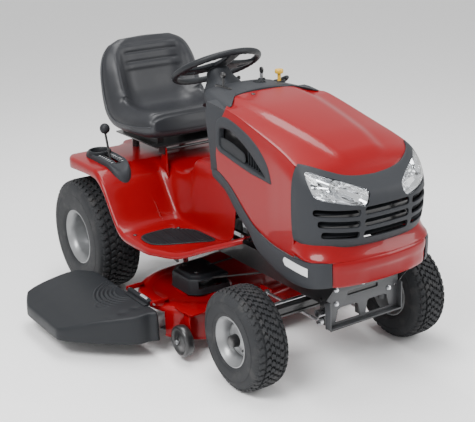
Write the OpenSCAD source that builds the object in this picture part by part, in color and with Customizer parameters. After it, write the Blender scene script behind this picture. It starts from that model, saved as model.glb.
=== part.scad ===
// Riding lawn mower, built as separate pieces in one shared frame.
// Millimetres. +Z up, the front faces -Y, the operator's right hand is -X.
// Shapes are written about the tractor's centreline, midway between the axles, at ground level.
// One shift at the end of the file moves everything to the centre of the overall box.

/* [Wheels] */
// Distance between the front and rear axles
wheelbase = 1197; // [1080:1:1400]
// Distance between the front tyre centres
front_track = 738; // [724:1:820]
// Distance between the rear tyre centres
rear_track = 733; // [724:1:860]
// Front tyre outer radius
front_tyre_r = 190.5; // [175:0.5:195]
// Front tyre width
front_tyre_w = 152; // [120:1:154]
// Rear tyre outer radius
rear_tyre_r = 254; // [220:1:258]
// Rear tyre width
rear_tyre_w = 203; // [160:1:206]
// Front rim flange radius
front_rim_r = 89; // [80:1:110]
// Rear rim flange radius
rear_rim_r = 115; // [100:1:140]

/* [Chassis] */
// Half of the distance across the outside of the frame rails
rail_half = 140; // [130:1:144]
// Height of the bottom of the rails above the ground
rail_z = 310; // [308:1:314]
// Depth of the rails
rail_h = 85; // [70:1:86]
// Thickness of the rail plate
rail_t = 4; // [3:0.5:5]
// Half width of the fender, outside to outside of the footrests
fender_half = 440; // [425:1:470]
// Height of the fender over the rear wheels
fender_z = 600; // [598:1:604]
// Height of the flat part of the footrests
foot_z = 370; // [368:1:372]

/* [Hood] */
// Half width of the hood sides
hood_half = 236; // [225:1:245]
// How far the nose reaches in front of the front axle
nose_reach = 346; // [320:1:400]
// Thickness of the hood skin
hood_t = 4; // [3:0.5:6]

/* [Deck] */
// Length of one blade
blade_len = 496; // [440:1:498]
// Distance between the two blade shafts across the machine
mandrel_gap = 500; // [499:1:540]
// Offset of the deck's centre to the left
deck_shift = 33; // [0:1:60]
// Height of the deck's lower edge
deck_z = 62; // [56:1:70]
// Height of the deck shell
deck_h = 123; // [118:1:126]
// How far the discharge chute reaches to the right of the centreline
chute_reach = 830; // [760:1:900]

/* [Driver] */
// Steering wheel outside radius
wheel_r = 190; // [160:1:195]
// Backward lean of the steering shaft from vertical, in degrees
column_lean = 27.3; // [24:0.1:30]
// Half width of the seat
seat_half = 248; // [200:1:250]

/* [Fits] */
// Radial clearance of shafts that turn in holes
run_gap = 0.05; // [0.02:0.01:0.1]
// Gap between neighbouring pieces that only stand close
small_gap = 0.3; // [0.2:0.1:0.5]

/* [Hidden] */
$fn = 48;
// Front and rear axle positions
fy = -wheelbase / 2;
ry = wheelbase / 2;
front_end = fy - nose_reach;
rail_front = fy - 202;
rail_back = ry + 102;
rail_top = rail_z + rail_h;
// Deck outline
deck_r = blade_len / 2 + 22;
deck_cy = (fy + ry) / 2 - 40;
stagger = 20;
man_rx = deck_shift - mandrel_gap / 2;
man_lx = deck_shift + mandrel_gap / 2;
man_ry = deck_cy - stagger;
man_ly = deck_cy + stagger;
deck_right = man_rx - deck_r;
deck_left = man_lx + deck_r;
deck_top = deck_z + deck_h;
pulley_z = deck_top + 40;
pulley_r = 60;
groove_r = pulley_r - 2;
engine_pulley_r = 50;
engine_y = fy + 178;
engine_pulley_z = 325;
drive_pulley_z = 384;
shaft_r = 12.5;
// Steering geometry
hub_y = 116;
hub_z = 1019;
lean_s = sin(column_lean);
lean_c = cos(column_lean);
shaft_bottom_z = 330;
shaft_len = (hub_z - shaft_bottom_z) / lean_c;
function shaft_y(z) = hub_y - (hub_z - z) * lean_s / lean_c;
mesh_gap = 60;
steer_teeth = 10;
sector_teeth = 45;
pinion_r = mesh_gap * steer_teeth / (sector_teeth - steer_teeth);
sector_y = shaft_y(shaft_bottom_z) - mesh_gap * lean_c;
sector_z = shaft_bottom_z + mesh_gap * lean_s;
pitman_drop = 50;
pitman_y = sector_y - pitman_drop * lean_s;
pitman_z = sector_z - pitman_drop * lean_c;
arm_r = 70;
king_x = 270;
king_top = 290;
axle_z = front_tyre_r;
drag_z = 264;
tie_z = 246;
pin_r = 5;
pin_play = 3;
// The drag link's rear eye follows a stud that tips as the sector swings
link_play = 7.5;
eye_h = 4;
// Hood hinge line
hood_pivot_y = fy - 192;
hood_pivot_z = 350;
hood_pin_r = 7;
// Hood side pieces follow this sweep, rear to front, as y and z
sweep_top = [[-205, 700], [-251, 702], [-332, 661], [-420, 589], [-484, 547], [-588, 516],
  [fy - 130, 514], [fy - 255, 524], [fy - 310, 526]];
sweep_low = [[-205, 676], [-295, 634], [-372, 563], [-449, 512], [-480, 474], [-524, 448],
  [fy - 28, 422], [fy - 125, 416], [fy - 255, 428], [fy - 310, 438]];
// Top line of the hood on the centreline, rear to front
crown = [[-205, 975], [-400, 953], [fy - 40, 905], [fy - 150, 872], [fy - 215, 845], [fy - 262, 799]];
vent_loop = [[-258, 905], [-295, 921], [-350, 915], [-430, 893], [-481, 873], [-532, 844],
  [-580, 795], [-600, 738], [-532, 741], [-474, 744], [-395, 757], [-313, 773], [-246, 792]];
// Fender skin seen from the side, as y, z and depth of its edge lip
fender_line = [[fy + 225, 469, 22], [-130, 370, 24], [150, 370, 24], [ry - 384, 385, 24],
  [ry - 308, 470, 28], [ry - 254, 545, 30], [ry - 204, 590, 34], [ry - 158, fender_z, 40],
  [ry + 112, fender_z, 44], [ry + 157, fender_z - 25, 80], [ry + 171, fender_z - 60, 70]];
skin_t = 4;
tunnel_line = [[-205, 655], [105, 655], [150, 600], [250, 572], [ry - 254, 590], [ry - 158, fender_z]];
rear_wall = 238;
lift_y = 330;
lift_z = 330;
lift_arm = 110;
lever_x = 340;
arm_pin_z = deck_top + 45;
arm_hanger_y = ry - 168;
arm_deck_y = 190;
link_z = 205;
link_hanger_y = fy - 82;
link_deck_y = -340;
link_x = 95;
gauge_y = deck_cy - 250;
gauge_z = 85;
gauge_r = 62;
gauge_rx = deck_right + 33;
gauge_lx = deck_left - 33;
chute_hinge_x = deck_right - 10;
chute_hinge_z = deck_top + 14;
seat_front = 296;
seat_floor = 700;
pan_pivot_y = 330;
pan_pivot_z = 650;
shift_y = 470;
shift_x = -330;
shift_z = 575;
pedal_x = 262;
pedal_y = -120;
pedal_z = 338;
dash_top = 975;
dash_rear_top = 1000;

// Closed outline made of a line and the same line lowered by d
function band(p, d) = concat(p, [for (i = [len(p) - 1:-1:0]) [p[i][0], p[i][1] - d]]);
// The same with a depth written in each point
function band3(p) = concat([for (q = p) [q[0], q[1]]],
  [for (i = [len(p) - 1:-1:0]) [p[i][0], p[i][1] - p[i][2]]]);
// Outline between two lines
function between(a, b) = concat(a, [for (i = [len(b) - 1:-1:0]) b[i]]);
// The mirror image of an outline about the centreline
function both(p) = concat(p, [for (i = [len(p) - 1:-1:0]) [-p[i][0], p[i][1]]]);

// Side outline (y, z) given thickness across the machine
module side(x0, x1) {
  translate([x0, 0, 0])
    rotate([90, 0, 90])
      linear_extrude(height = x1 - x0)
        children();
}
// Cross outline (x, z) given length along the machine
module cross(y0, y1) {
  translate([0, y1, 0])
    rotate([90, 0, 0])
      linear_extrude(height = y1 - y0)
        children();
}
// Plan outline (x, y) given height
module plan(z0, z1) {
  translate([0, 0, z0])
    linear_extrude(height = z1 - z0)
      children();
}
// Block from one corner to the opposite one
module block(a, b) {
  translate(a)
    cube([b[0] - a[0], b[1] - a[1], b[2] - a[2]]);
}
// Round bar between two points
module bar(a, b, r) {
  d = b - a;
  len3 = norm(d);
  translate(a)
    rotate([0, acos(d[2] / len3), atan2(d[1], d[0])])
      cylinder(h = len3, r = r);
}
// Bar along X
module xbar(x0, x1, y, z, r) {
  translate([x0, y, z])
    rotate([0, 90, 0])
      cylinder(h = x1 - x0, r = r);
}
// Bar along Y
module ybar(y0, y1, x, z, r) {
  translate([x, y1, z])
    rotate([90, 0, 0])
      cylinder(h = y1 - y0, r = r);
}
// Bar along Z
module zbar(x, y, z0, z1, r) {
  translate([x, y, z0])
    cylinder(h = z1 - z0, r = r);
}
// The same shape on both sides
module pair() {
  children();
  mirror([1, 0, 0])
    children();
}
// Steering frame: origin at the shaft's lower end, Z along the shaft towards the driver
module on_shaft() {
  translate([0, shaft_y(shaft_bottom_z), shaft_bottom_z])
    rotate([-column_lean, 0, 0])
      children();
}

// ---------- chassis ----------
module frame_rails() {
  color("#222224")
  difference() {
    union() {
      pair() {
        block([rail_half - rail_t, rail_front, rail_z], [rail_half, rail_back, rail_top]);
        block([rail_half - 30, rail_front, rail_top - rail_t], [rail_half, rail_back, rail_top]);
        // hanger for the rear suspension arm
        block([rail_half - rail_t, arm_hanger_y - 18, arm_pin_z - 16],
          [rail_half, arm_hanger_y + 18, rail_z]);
        xbar(rail_half - rail_t, rail_half + 26, arm_hanger_y, arm_pin_z, 6);
        // hanger for the front link
        block([link_x - 16, link_hanger_y - 14, link_z - 14],
          [link_x - 10, link_hanger_y + 14, rail_z + 20]);
        xbar(link_x - 16, link_x + 14, link_hanger_y, link_z, 6);
        // hood hinge pin
        xbar(rail_half - rail_t, 180, hood_pivot_y, hood_pivot_z, hood_pin_r);
      }
      // cross members
      block([-rail_half, rail_front, rail_z], [rail_half, rail_front + rail_t, rail_top]);
      block([-rail_half, link_hanger_y - 20, rail_z + 16],
        [rail_half, link_hanger_y + 20, rail_z + 22]);
      block([-rail_half, fy - 28, rail_z + 4], [rail_half, fy + 28, rail_z + 10]);
      block([-rail_half, sector_y - 26, rail_top - 5], [rail_half, sector_y + 34, rail_top]);
      block([-rail_half, 20, rail_top - 5], [rail_half, 60, rail_top]);
      block([-rail_half, ry - 220, rail_top - 5], [rail_half, ry - 160, rail_top]);
      block([-rail_half, rail_back - rail_t, rail_z], [rail_half, rail_back, rail_top]);
      // front axle pivot bracket
      block([-24, fy - 36, 228], [24, fy - 28, rail_z + 10]);
      block([-24, fy + 28, 228], [24, fy + 36, rail_z + 10]);
      // feet that carry the transaxle
      pair() block([92, ry - 60, 336], [rail_half, ry - 20, 342]);
    }
    // axle pivot hole
    ybar(fy - 40, fy + 40, 0, 250, 9 + run_gap);
    // sector shaft hole
    translate([0, sector_y, sector_z])
      rotate([-column_lean, 0, 0])
        translate([0, 0, 6])
          cylinder(h = 80, r = 10 + run_gap);
    // lift shaft holes
    xbar(-150, 150, lift_y, lift_z, 8 + run_gap);
    // crankshaft room
    zbar(0, engine_y, 290, 400, 60);
  }
}
plate_half = 165;
plate_hole_x = 151;
module front_plate() {
  color("#55585c")
  difference() {
    union() {
      plan(300, rail_top)
        polygon([[-plate_half, rail_front - 6], [plate_half, rail_front - 6],
          [plate_half, rail_front - small_gap], [-plate_half, rail_front - small_gap]]);
      pair() block([plate_half - 26, rail_front - 6, 240], [plate_half, rail_front - small_gap, 310]);
      block([-14, rail_front - 6, 240], [14, rail_front - small_gap, 310]);
      block([-plate_half, rail_front - 6, 240], [plate_half, rail_front - small_gap, 254]);
      pair() block([plate_half - 5, rail_front - 30, 240], [plate_half, rail_front - 5, rail_top - 50]);
    }
    pair() {
      ybar(rail_front - 40, rail_front + 10, plate_hole_x, 378, 5.5);
      ybar(rail_front - 40, rail_front + 10, plate_hole_x, 330, 5.5);
    }
    block([-70, rail_front - 20, 344], [70, rail_front + 10, 360]);
  }
}
module hitch_plate() {
  color("#1d1d1f")
  difference() {
    union() {
      block([-90, rail_back + small_gap, rail_z - 60], [90, rail_back + 6, rail_top]);
      block([-45, rail_back + small_gap, rail_z - 60], [45, rail_back + 60, rail_z - 52]);
    }
    zbar(0, rail_back + 36, rail_z - 80, rail_z, 9.5);
  }
}
fender_plan = [[0, fy + 225], [-215, fy + 225], [-262, fy + 262], [-350, -199], [-fender_half + 30, -60],
  [-fender_half, -30], [-fender_half, ry + 60], [-fender_half + 20, ry + 110],
  [-fender_half + 90, ry + 160], [-260, ry + 171], [0, ry + 171]];
function shrink(p, t) = [for (q = p) [min(0, q[0] + (q[0] < 0 ? t : 0)),
  q[1] + (q[1] < 0 ? t : -t)]];
module fender_body() {
  color("#a50d10")
  difference() {
    union() {
      // pressed skin with a lip all round
      difference() {
        intersection() {
          side(-fender_half - 10, fender_half + 10) polygon(band3(fender_line));
          plan(300, 700) polygon(both(fender_plan));
        }
        intersection() {
          side(-fender_half - 10, fender_half + 10)
            polygon(band([for (q = fender_line) [q[0], q[1] - skin_t]], 200));
          plan(200, 700) polygon(both(shrink(fender_plan, skin_t)));
        }
      }
      // middle tunnel from the dash to the seat
      difference() {
        intersection() {
          side(-160, 160) polygon(concat(tunnel_line, [[ry - 158, foot_z - 24], [-205, foot_z - 24]]));
          cross(-205, ry) polygon([[-158, foot_z - 24], [158, foot_z - 24], [158, foot_z + 60],
            [126, 660], [-126, 660], [-158, foot_z + 60]]);
        }
        intersection() {
          side(-160, 160)
            polygon(concat([[-600, 655 - skin_t]], [for (q = tunnel_line) [q[0], q[1] - skin_t]],
              [[ry, fender_z - skin_t], [ry, 200], [-600, 200]]));
          cross(-600, ry + 10) polygon([[-154, 200], [154, 200], [154, foot_z + 60],
            [122, 660], [-122, 660], [-154, foot_z + 60]]);
        }
      }
      // walls beside the rear wheels
      pair()
        side(rear_wall - skin_t, rear_wall)
          polygon([[ry - 400, foot_z - 3], [ry - 308, 469], [ry - 254, 543], [ry - 158, fender_z - 2],
            [ry + 112, fender_z - 2], [ry + 157, fender_z - 27], [ry + 169, fender_z - 62],
            [ry + 169, 440], [ry - 320, 440], [ry - 400, foot_z - 20]]);
      // ears for the shift lever and the seat hinge
      for (x = [shift_x - 24, shift_x + 18]) {
        block([x, shift_y - 12, shift_z - 12], [x + 6, shift_y + 12, fender_z - 2]);
      }
      seat_ears();
      // wall between the tunnel and the rear of the footrest
      pair() block([150, ry - 402, foot_z - 20], [rear_wall, ry - 398, foot_z - 1]);
    }
    // open the skin under the tunnel so that both form one hollow
    block([-150, fy + 200, 300], [150, ry - 300, foot_z + 100]);
    block([-152, fy + 200, 300], [152, -205, 700]);
    // steering shaft passes the tunnel
    on_shaft() cylinder(h = 500, r = 16);
    // rear wheel arches
    pair() xbar(rear_wall + 1, fender_half + 20, ry, rear_tyre_r, rear_tyre_r + 26);
    xbar(shift_x - 30, shift_x + 30, shift_y, shift_z, 6 + run_gap);
    // slots for the shift lever and the lift lever
    block([shift_x - 9, shift_y - 70, 480], [shift_x + 9, shift_y + 70, 640]);
    block([lever_x - 14, lift_y - 75, 440], [lever_x + 14, lift_y + 110, 640]);
    // filler neck
    zbar(150, ry + 100, 560, 640, 36);
    // cup
    zbar(shift_x, ry - 18, 560, 640, 45);
    // brake pedal arm
    block([pedal_x - 13, pedal_y - 110, 340], [pedal_x + 13, pedal_y + 20, 460]);
  }
}
pad_h = 5;
module foot_pads() {
  color("#3b3c3e")
  pair() {
    difference() {
      plan(foot_z + small_gap, foot_z + pad_h)
        polygon([[-172, -104], [-330, -34], [-400, 20], [-400, 110], [-360, 146], [-252, 146], [-172, 60]]);
      // grooves between the ribs
      for (i = [0:6]) {
        translate([-410, -70 + i * 36, foot_z + pad_h - 2])
          cube([250, 12, 6]);
      }
    }
  }
}
dash_plan = [[0, -200], [-222, -200], [-222, -150], [-160, -40], [-96, 60], [-70, 105], [0, 105]];
module dash_room() {
  intersection() {
    plan(600, 1010) polygon(both(shrink(dash_plan, 4)));
    side(-230, 230) polygon([[-197, 600], [60, 600], [101, 704], [101, 957], [84, dash_rear_top - 16],
      [-20, dash_rear_top - 4], [-197, dash_top - 5]]);
  }
}
module dash_tower() {
  color("#3a3c3f")
  difference() {
    union() {
      difference() {
        intersection() {
          plan(655 + small_gap, 1010) polygon(both(dash_plan));
          side(-230, 230) polygon([[-201, 600], [60, 600], [106, 700], [106, 960], [88, dash_rear_top - 12],
            [-20, dash_rear_top], [-201, dash_top]]);
        }
        dash_room();
      }
      // ears that hold the throttle lever and the brake lever
      for (x = [-112, -92]) {
        block([x, -98, 930], [x + 4, -82, dash_rear_top - 13]);
      }
      block([84, 60, 890], [87, 96, 910]);
      block([104.6, 40, 890], [107.6, 96, 910]);
    }
    xbar(-120, -80, -90, 940, 5 + run_gap);
    xbar(80, 112, 88, 900, 5 + run_gap);
    // steering shaft room
    on_shaft() translate([0, 0, 200]) cylinder(h = 560, r = 16);
    on_shaft() translate([0, 0, shaft_len - 62]) cylinder(h = 90, r = 38);
    // throttle slot
    block([-104, -140, 960], [-96, -40, 1010]);
    // key and knob holes
    zbar(100, -60, 940, 1010, 8);
    zbar(150, -110, 940, 1010, 8);
    zbar(55, -110, 940, 1010, 8);
  }
}
console_half = 48;
module fender_consoles() {
  color("#303134")
  difference() {
    union() {
      // right console follows the fender
      intersection() {
        side(-500, 0)
          polygon(band([for (q = fender_line) [q[0], q[1] + 22]], 22 - small_gap));
        plan(400, 700)
          polygon([[shift_x - console_half, ry - 200], [shift_x - console_half, ry + 40],
            [shift_x - 20, ry + 60], [shift_x + console_half, ry + 50],
            [shift_x + console_half, ry - 240], [shift_x, ry - 268], [shift_x - 30, ry - 250]]);
      }
      // left quadrant of the lift lever
      intersection() {
        side(0, 500)
          polygon(band([for (q = fender_line) [q[0], q[1] + 30]], 30 - small_gap));
        plan(400, 700)
          polygon([[lever_x - 40, ry - 290], [lever_x + 40, ry - 290], [lever_x + 40, ry - 60],
            [lever_x - 40, ry - 60]]);
      }
      // cup
      zbar(shift_x, ry - 18, 566, fender_z + 36, 42);
    }
    zbar(shift_x, ry - 18, 570, fender_z + 60, 38);
    block([shift_x - 8, shift_y - 66, 400], [shift_x + 8, shift_y + 66, 680]);
    block([lever_x - 12, lift_y - 70, 400], [lever_x + 12, lift_y + 105, 680]);
  }
}
module engine_block() {
  color("#2a2b2d")
  difference() {
    union() {
      block([-100, engine_y - 105, rail_top + small_gap], [100, engine_y + 105, 520]);
      // cylinder with cooling fins, pointing forward
      block([-70, engine_y - 230, 430], [70, engine_y - 100, 530]);
      for (i = [0:5]) {
        block([-88, engine_y - 222 + i * 20, 420], [88, engine_y - 216 + i * 20, 540]);
      }
      block([-60, engine_y - 262, 440], [60, engine_y - 229, 520]);
      zbar(0, engine_y, 519, 560, 60);
      // flange that carries the blower housing
      zbar(0, engine_y, 530, 545 - small_gap, 139);
      block([-108, engine_y - 222, 529], [108, engine_y, 545 - small_gap]);
    }
    zbar(0, engine_y, 380, 500, 18 + run_gap);
  }
}
module engine_shroud() {
  color("#1f2023")
  difference() {
    union() {
      zbar(0, engine_y, 545, 690, 140);
      zbar(0, engine_y, 689, 720, 90);
      block([-110, engine_y - 225, 545], [110, engine_y, 660]);
    }
    zbar(0, engine_y, 500, 686, 134);
    block([-104, engine_y - 219, 500], [104, engine_y, 655]);
    for (a = [0:30:330]) {
      translate([0, engine_y, 700])
        rotate([0, 0, a])
          block([40, -6, -20], [80, 6, 40]);
    }
  }
}
module muffler() {
  color("#9a9c9f")
  union() {
    difference() {
      union() {
        xbar(-105, 105, fy - 148, 455, 44);
        bar([-70, fy - 148, 430], [-100, fy - 171, 292], 14);
        xbar(-178, -100, fy - 171, 290, 14);
        translate([-100, fy - 171, 290]) sphere(r = 15);
      }
      xbar(-190, -120, fy - 171, 290, 11);
    }
    // feet on the rails
    pair() block([rail_half - 24, fy - 166, rail_top + small_gap], [rail_half - 4, fy - 130, 440]);
    xbar(-rail_half + 5, rail_half - 5, fy - 148, 430, 8);
  }
}
module battery() {
  color("#18181a")
  union() {
    block([-98, ry - 200, rail_top + small_gap], [98, ry - 75, 545]);
    pair() zbar(-75, ry - 100, 544, 562, 8);
    pair() block([-rail_half + 5, ry - 190, rail_top + small_gap], [-97, ry - 85, rail_top + 8]);
  }
}
module fuel_tank() {
  color("#d9d9d2")
  union() {
    difference() {
      block([-190, ry - 40, 430], [200, ry + 140, 568]);
      block([-186, ry - 36, 434], [196, ry + 136, 564]);
      zbar(150, ry + 100, 560, 600, 24);
    }
    difference() {
      zbar(150, ry + 100, 564, 614, 30);
      zbar(150, ry + 100, 560, 620, 24);
    }
    zbar(150, ry + 100, 613, 634, 40);
    pair() block([rail_half - 30, ry, rail_top + small_gap], [rail_half - 4, ry + 90, 431]);
  }
}
housing_r = 28;
module transaxle() {
  color("#8d9094")
  difference() {
    union() {
      block([-88, ry - 120, 205], [88, ry + 62, 330]);
      xbar(-236, 236, ry, rear_tyre_r, housing_r);
      zbar(0, ry - 80, 329, drive_pulley_z + 10, 9);
      zbar(0, ry - 80, drive_pulley_z - 9, drive_pulley_z + 9, 70);
      pair() block([84, ry - 58, 300], [91, ry - 22, 336 - small_gap]);
      pair() block([84, ry - 58, 329], [112, ry - 22, 336 - small_gap]);
    }
    xbar(-300, -120, ry, rear_tyre_r, 12.7 + run_gap);
    xbar(120, 300, ry, rear_tyre_r, 12.7 + run_gap);
    // groove of the pulley
    translate([0, ry - 80, drive_pulley_z])
      rotate_extrude()
        translate([64, -5.5]) square([20, 11]);
  }
}
module drive_belt() {
  color("#151515")
  union() {
    pair() bar([55.5, engine_y, drive_pulley_z], [69.8, ry - 80, drive_pulley_z], 4.5);
    translate([0, engine_y, drive_pulley_z])
      difference() {
        cylinder(h = 9, r = 60, center = true);
        cylinder(h = 12, r = 51, center = true);
        translate([-80, 0, -10]) cube([160, 80, 20]);
      }
    translate([0, ry - 80, drive_pulley_z])
      difference() {
        cylinder(h = 9, r = 74.3, center = true);
        cylinder(h = 12, r = 65.3, center = true);
        translate([-80, -80, -10]) cube([160, 80, 20]);
      }
  }
}

// ---------- hood ----------
nose_plan = [[0, front_end + 88], [-170, fy - 248], [-hood_half + 6, fy - 165], [-hood_half, fy - 120],
  [-hood_half, -204.5], [0, -204.5]];
module hood_solid(t) {
  intersection() {
    side(-hood_half, hood_half)
      polygon(concat([for (q = crown) [q[0] + (q[0] < fy - 250 ? t : 0) + (q[0] > -206 ? (t > 0 ? 20 : 0) : 0),
        q[1] - t]], t > 0 ? [[fy - 262 + t, 300], [-185, 300]]
        : concat([[fy - 262, 532]], [for (i = [len(sweep_top) - 1:-1:0]) sweep_top[i]])));
    plan(300, 1000) polygon(both([for (q = nose_plan) [min(0, q[0] + (q[0] < 0 ? t : 0)),
      q[1] + (q[1] < -205 ? t : (t > 0 ? 20 : 0))]]));
    // arched section that falls towards the front
    translate([0, -205, 0])
      rotate([13.5, 0, 0])
        rotate([90, 0, 0])
          linear_extrude(height = 1000, center = true)
            polygon([[-hood_half + t, 100], [-hood_half + t, 900 - t], [-hood_half + 16 + t, 938 - t],
              [-130, 946 - t], [-70, 962 - t], [70, 962 - t], [130, 946 - t],
              [hood_half - 16 - t, 938 - t], [hood_half - t, 900 - t], [hood_half - t, 100]]);
  }
}
module hood_shell() {
  color("#a50d10")
  difference() {
    hood_solid(0);
    hood_solid(hood_t);
    // side openings for the vents
    pair() side(hood_half - 20, hood_half + 10) polygon(vent_loop);
  }
}
vent_in = [[-268, 872], [-320, 875], [-400, 848], [-457, 820], [-508, 785], [-552, 757],
  [-474, 760], [-395, 773], [-313, 790], [-262, 804]];
module side_vents() {
  color("#3a3c3f")
  pair() {
    difference() {
      side(hood_half - hood_t, hood_half - small_gap)
        polygon([for (q = vent_loop) [q[0] * 0.996 - 1.7, q[1] * 0.996 + 3.3]]);
      side(hood_half - 30, hood_half + 10) polygon(vent_in);
    }
    // inner panel
    difference() {
      side(hood_half - 26, hood_half - 22) polygon([for (q = vent_loop) [q[0], q[1] - 4]]);
      side(hood_half - 30, hood_half - 10)
        polygon([[-430, 778], [-400, 838], [-457, 812], [-500, 780], [-470, 770]]);
    }
    // webs between the ring and the panel
    for (q = [[-262, 830], [-590, 748], [-420, 882]]) {
      block([hood_half - 23, q[0] - 5, q[1] - 5], [hood_half - hood_t + 1, q[0] + 5, q[1] + 5]);
    }
  }
}
trim_half = hood_half + 26;
trim_plan = [[hood_half + 2, -206], [hood_half + 6, fy + 60], [trim_half, fy - 110],
  [trim_half, front_end + 106], [trim_half - 15, front_end + 70], [209, front_end + 44.5]];
trim_in = [[205, front_end + 50], [trim_half - 21, front_end + 75], [trim_half - 7, front_end + 108],
  [trim_half - 7, fy - 108], [hood_half - 2, fy + 60], [hood_half - 6, -206]];
module lower_trims() {
  color("#3a3c3f")
  pair()
    union() {
      intersection() {
        side(150, trim_half + 12)
          polygon(between([for (q = sweep_top) [q[0], q[1] - small_gap]], sweep_low));
        plan(380, 720) polygon(concat(trim_plan, trim_in));
      }
      // shelf between the trim and the hood
      intersection() {
        side(150, trim_half + 12)
          polygon(band([[fy - 60, 515 - small_gap], [fy - 130, 514 - small_gap],
            [fy - 255, 524 - small_gap], [fy - 310, 526 - small_gap]], 4));
        plan(380, 720)
          polygon([[trim_half, fy - 110], [trim_half, front_end + 106], [trim_half - 15, front_end + 70],
            [212, front_end + 47], [204, front_end + 76], [212, front_end + 120],
            [hood_half - 6, front_end + 170], [hood_half - 6, fy - 70], [hood_half + 12, fy - 70]]);
      }
    }
}
grille_plan = [[0, front_end + 5], [-110, front_end + 20], [-195, front_end + 68], [-238, front_end + 105],
  [-262, front_end + 165], [-262, fy - 150]];
grille_in = [[-250, fy - 150], [-250, front_end + 168], [-228, front_end + 114], [-188, front_end + 80],
  [-106, front_end + 33], [0, front_end + 18]];
lamp_face = [[-250, 846], [-246, 752], [-222, 738], [-88, 708], [-70, 760], [-150, 806]];
module grille_solid() {
  intersection() {
    plan(562, 870) polygon(both(concat(grille_plan, grille_in)));
    side(-270, 270)
      polygon([[front_end + 38, 562], [front_end + 12, 610], [front_end, 716], [front_end + 20, 762],
        [front_end + 60, 790], [front_end + 92, 812], [fy - 180, 866], [fy - 148, 866], [fy - 148, 562]]);
  }
}
module grille() {
  color("#3a3c3f")
  difference() {
    union() {
      grille_solid();
      // shelf that closes the top against the hood
      intersection() {
        side(-262, 262)
          polygon([[front_end + 60, 790], [front_end + 92, 812], [fy - 180, 866], [fy - 150, 866],
            [fy - 180, 862], [front_end + 92, 806], [front_end + 60, 784]]);
        plan(700, 900) polygon(both(concat(grille_plan, [[0, fy - 150]])));
        difference() {
          plan(700, 900) square([600, 3000], center = true);
          hood_solid(-small_gap);
        }
      }
    }
    // hood skin passes inside the collar
    hood_solid(-small_gap);
    // three rows of slots in three columns
    for (i = [0:2]) {
      block([-96, front_end - 10, 604 + i * 40], [96, front_end + 60, 626 + i * 40]);
      pair() block([116, front_end - 10, 604 + i * 38], [222 - i * 2 + 4, front_end + 150, 624 + i * 38]);
    }
    // lamp windows
    pair() cross(front_end - 10, fy - 196) polygon(lamp_face);
  }
}
lamp_back = front_end + 150;
module headlight_reflectors() {
  color("#d5d8dc")
  pair()
    union() {
      intersection() {
        cross(front_end, lamp_back)
          polygon([for (q = lamp_face) [q[0] * 0.9 - 16, (q[1] - 772) * 0.86 + 772]]);
        plan(600, 900)
          polygon([[-240, front_end + 160], [-236, front_end + 128], [-180, front_end + 94],
            [-80, front_end + 52], [-80, front_end + 78], [-164, front_end + 90],
            [-200, front_end + 132], [-236, front_end + 176]]);
      }
      // bulb holder
      ybar(front_end + 62, front_end + 90, -140, 764, 12);
    }
}
module headlight_lenses() {
  color([0.9, 0.93, 0.95, 0.4])
  pair()
    intersection() {
      cross(front_end - 20, fy - 196)
        polygon([for (q = lamp_face) [q[0] * 0.985 - 2.3, (q[1] - 772) * 0.975 + 772]]);
      plan(600, 900)
        polygon([[0, front_end + 8], [-110, front_end + 23], [-194, front_end + 71], [-235, front_end + 108],
          [-259, front_end + 165], [-255, front_end + 165], [-232, front_end + 111], [-191, front_end + 76],
          [-108, front_end + 28], [0, front_end + 13]]);
    }
}
bumper_z = 434;
bumper_top = 530;
bumper_plan = [[0, front_end], [-118, front_end + 10], [-207, front_end + 42]];
bumper_in = [[-204, front_end + 48], [-116, front_end + 15], [0, front_end + 5]];
module front_bumper() {
  color("#a50d10")
  union() {
    plan(bumper_z, bumper_top) polygon(both(concat(bumper_plan, bumper_in)));
    // flange along the lower edge
    plan(bumper_z, bumper_z + 4)
      polygon(both([[0, front_end], [-118, front_end + 10], [-207, front_end + 42],
        [-200, front_end + 56], [-110, front_end + 26], [0, front_end + 16]]));
    // ledge below the grille
    plan(bumper_top - 4, bumper_top)
      polygon(both([[0, front_end], [-118, front_end + 10], [-207, front_end + 42],
        [-198, front_end + 66], [-150, front_end + 76], [0, front_end + 48]]));
    plan(bumper_top - 2, 562 - small_gap)
      polygon(both([[0, front_end + 42], [-108, front_end + 52], [-170, front_end + 66],
        [-168, front_end + 72], [-106, front_end + 57], [0, front_end + 47]]));
  }
}
// front ends of the hinge arms, just behind the bumper
hinge_tip = front_end + 37;
module hood_hinge() {
  color("#1d1d1f")
  difference() {
    union() {
      pair()
        side(169, 173)
          polygon([[hood_pivot_y + 14, hood_pivot_z - 14], [hood_pivot_y + 14, hood_pivot_z + 30],
            [fy - 236, 520], [hinge_tip, 520], [hinge_tip, 462], [hood_pivot_y - 30, hood_pivot_z + 10],
            [hood_pivot_y - 14, hood_pivot_z - 14]]);
      // bridge behind the bumper
      block([-172, hinge_tip + 12, 500], [172, hinge_tip + 18, 524]);
    }
    xbar(-200, 200, hood_pivot_y, hood_pivot_z, hood_pin_r + run_gap);
  }
}

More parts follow.
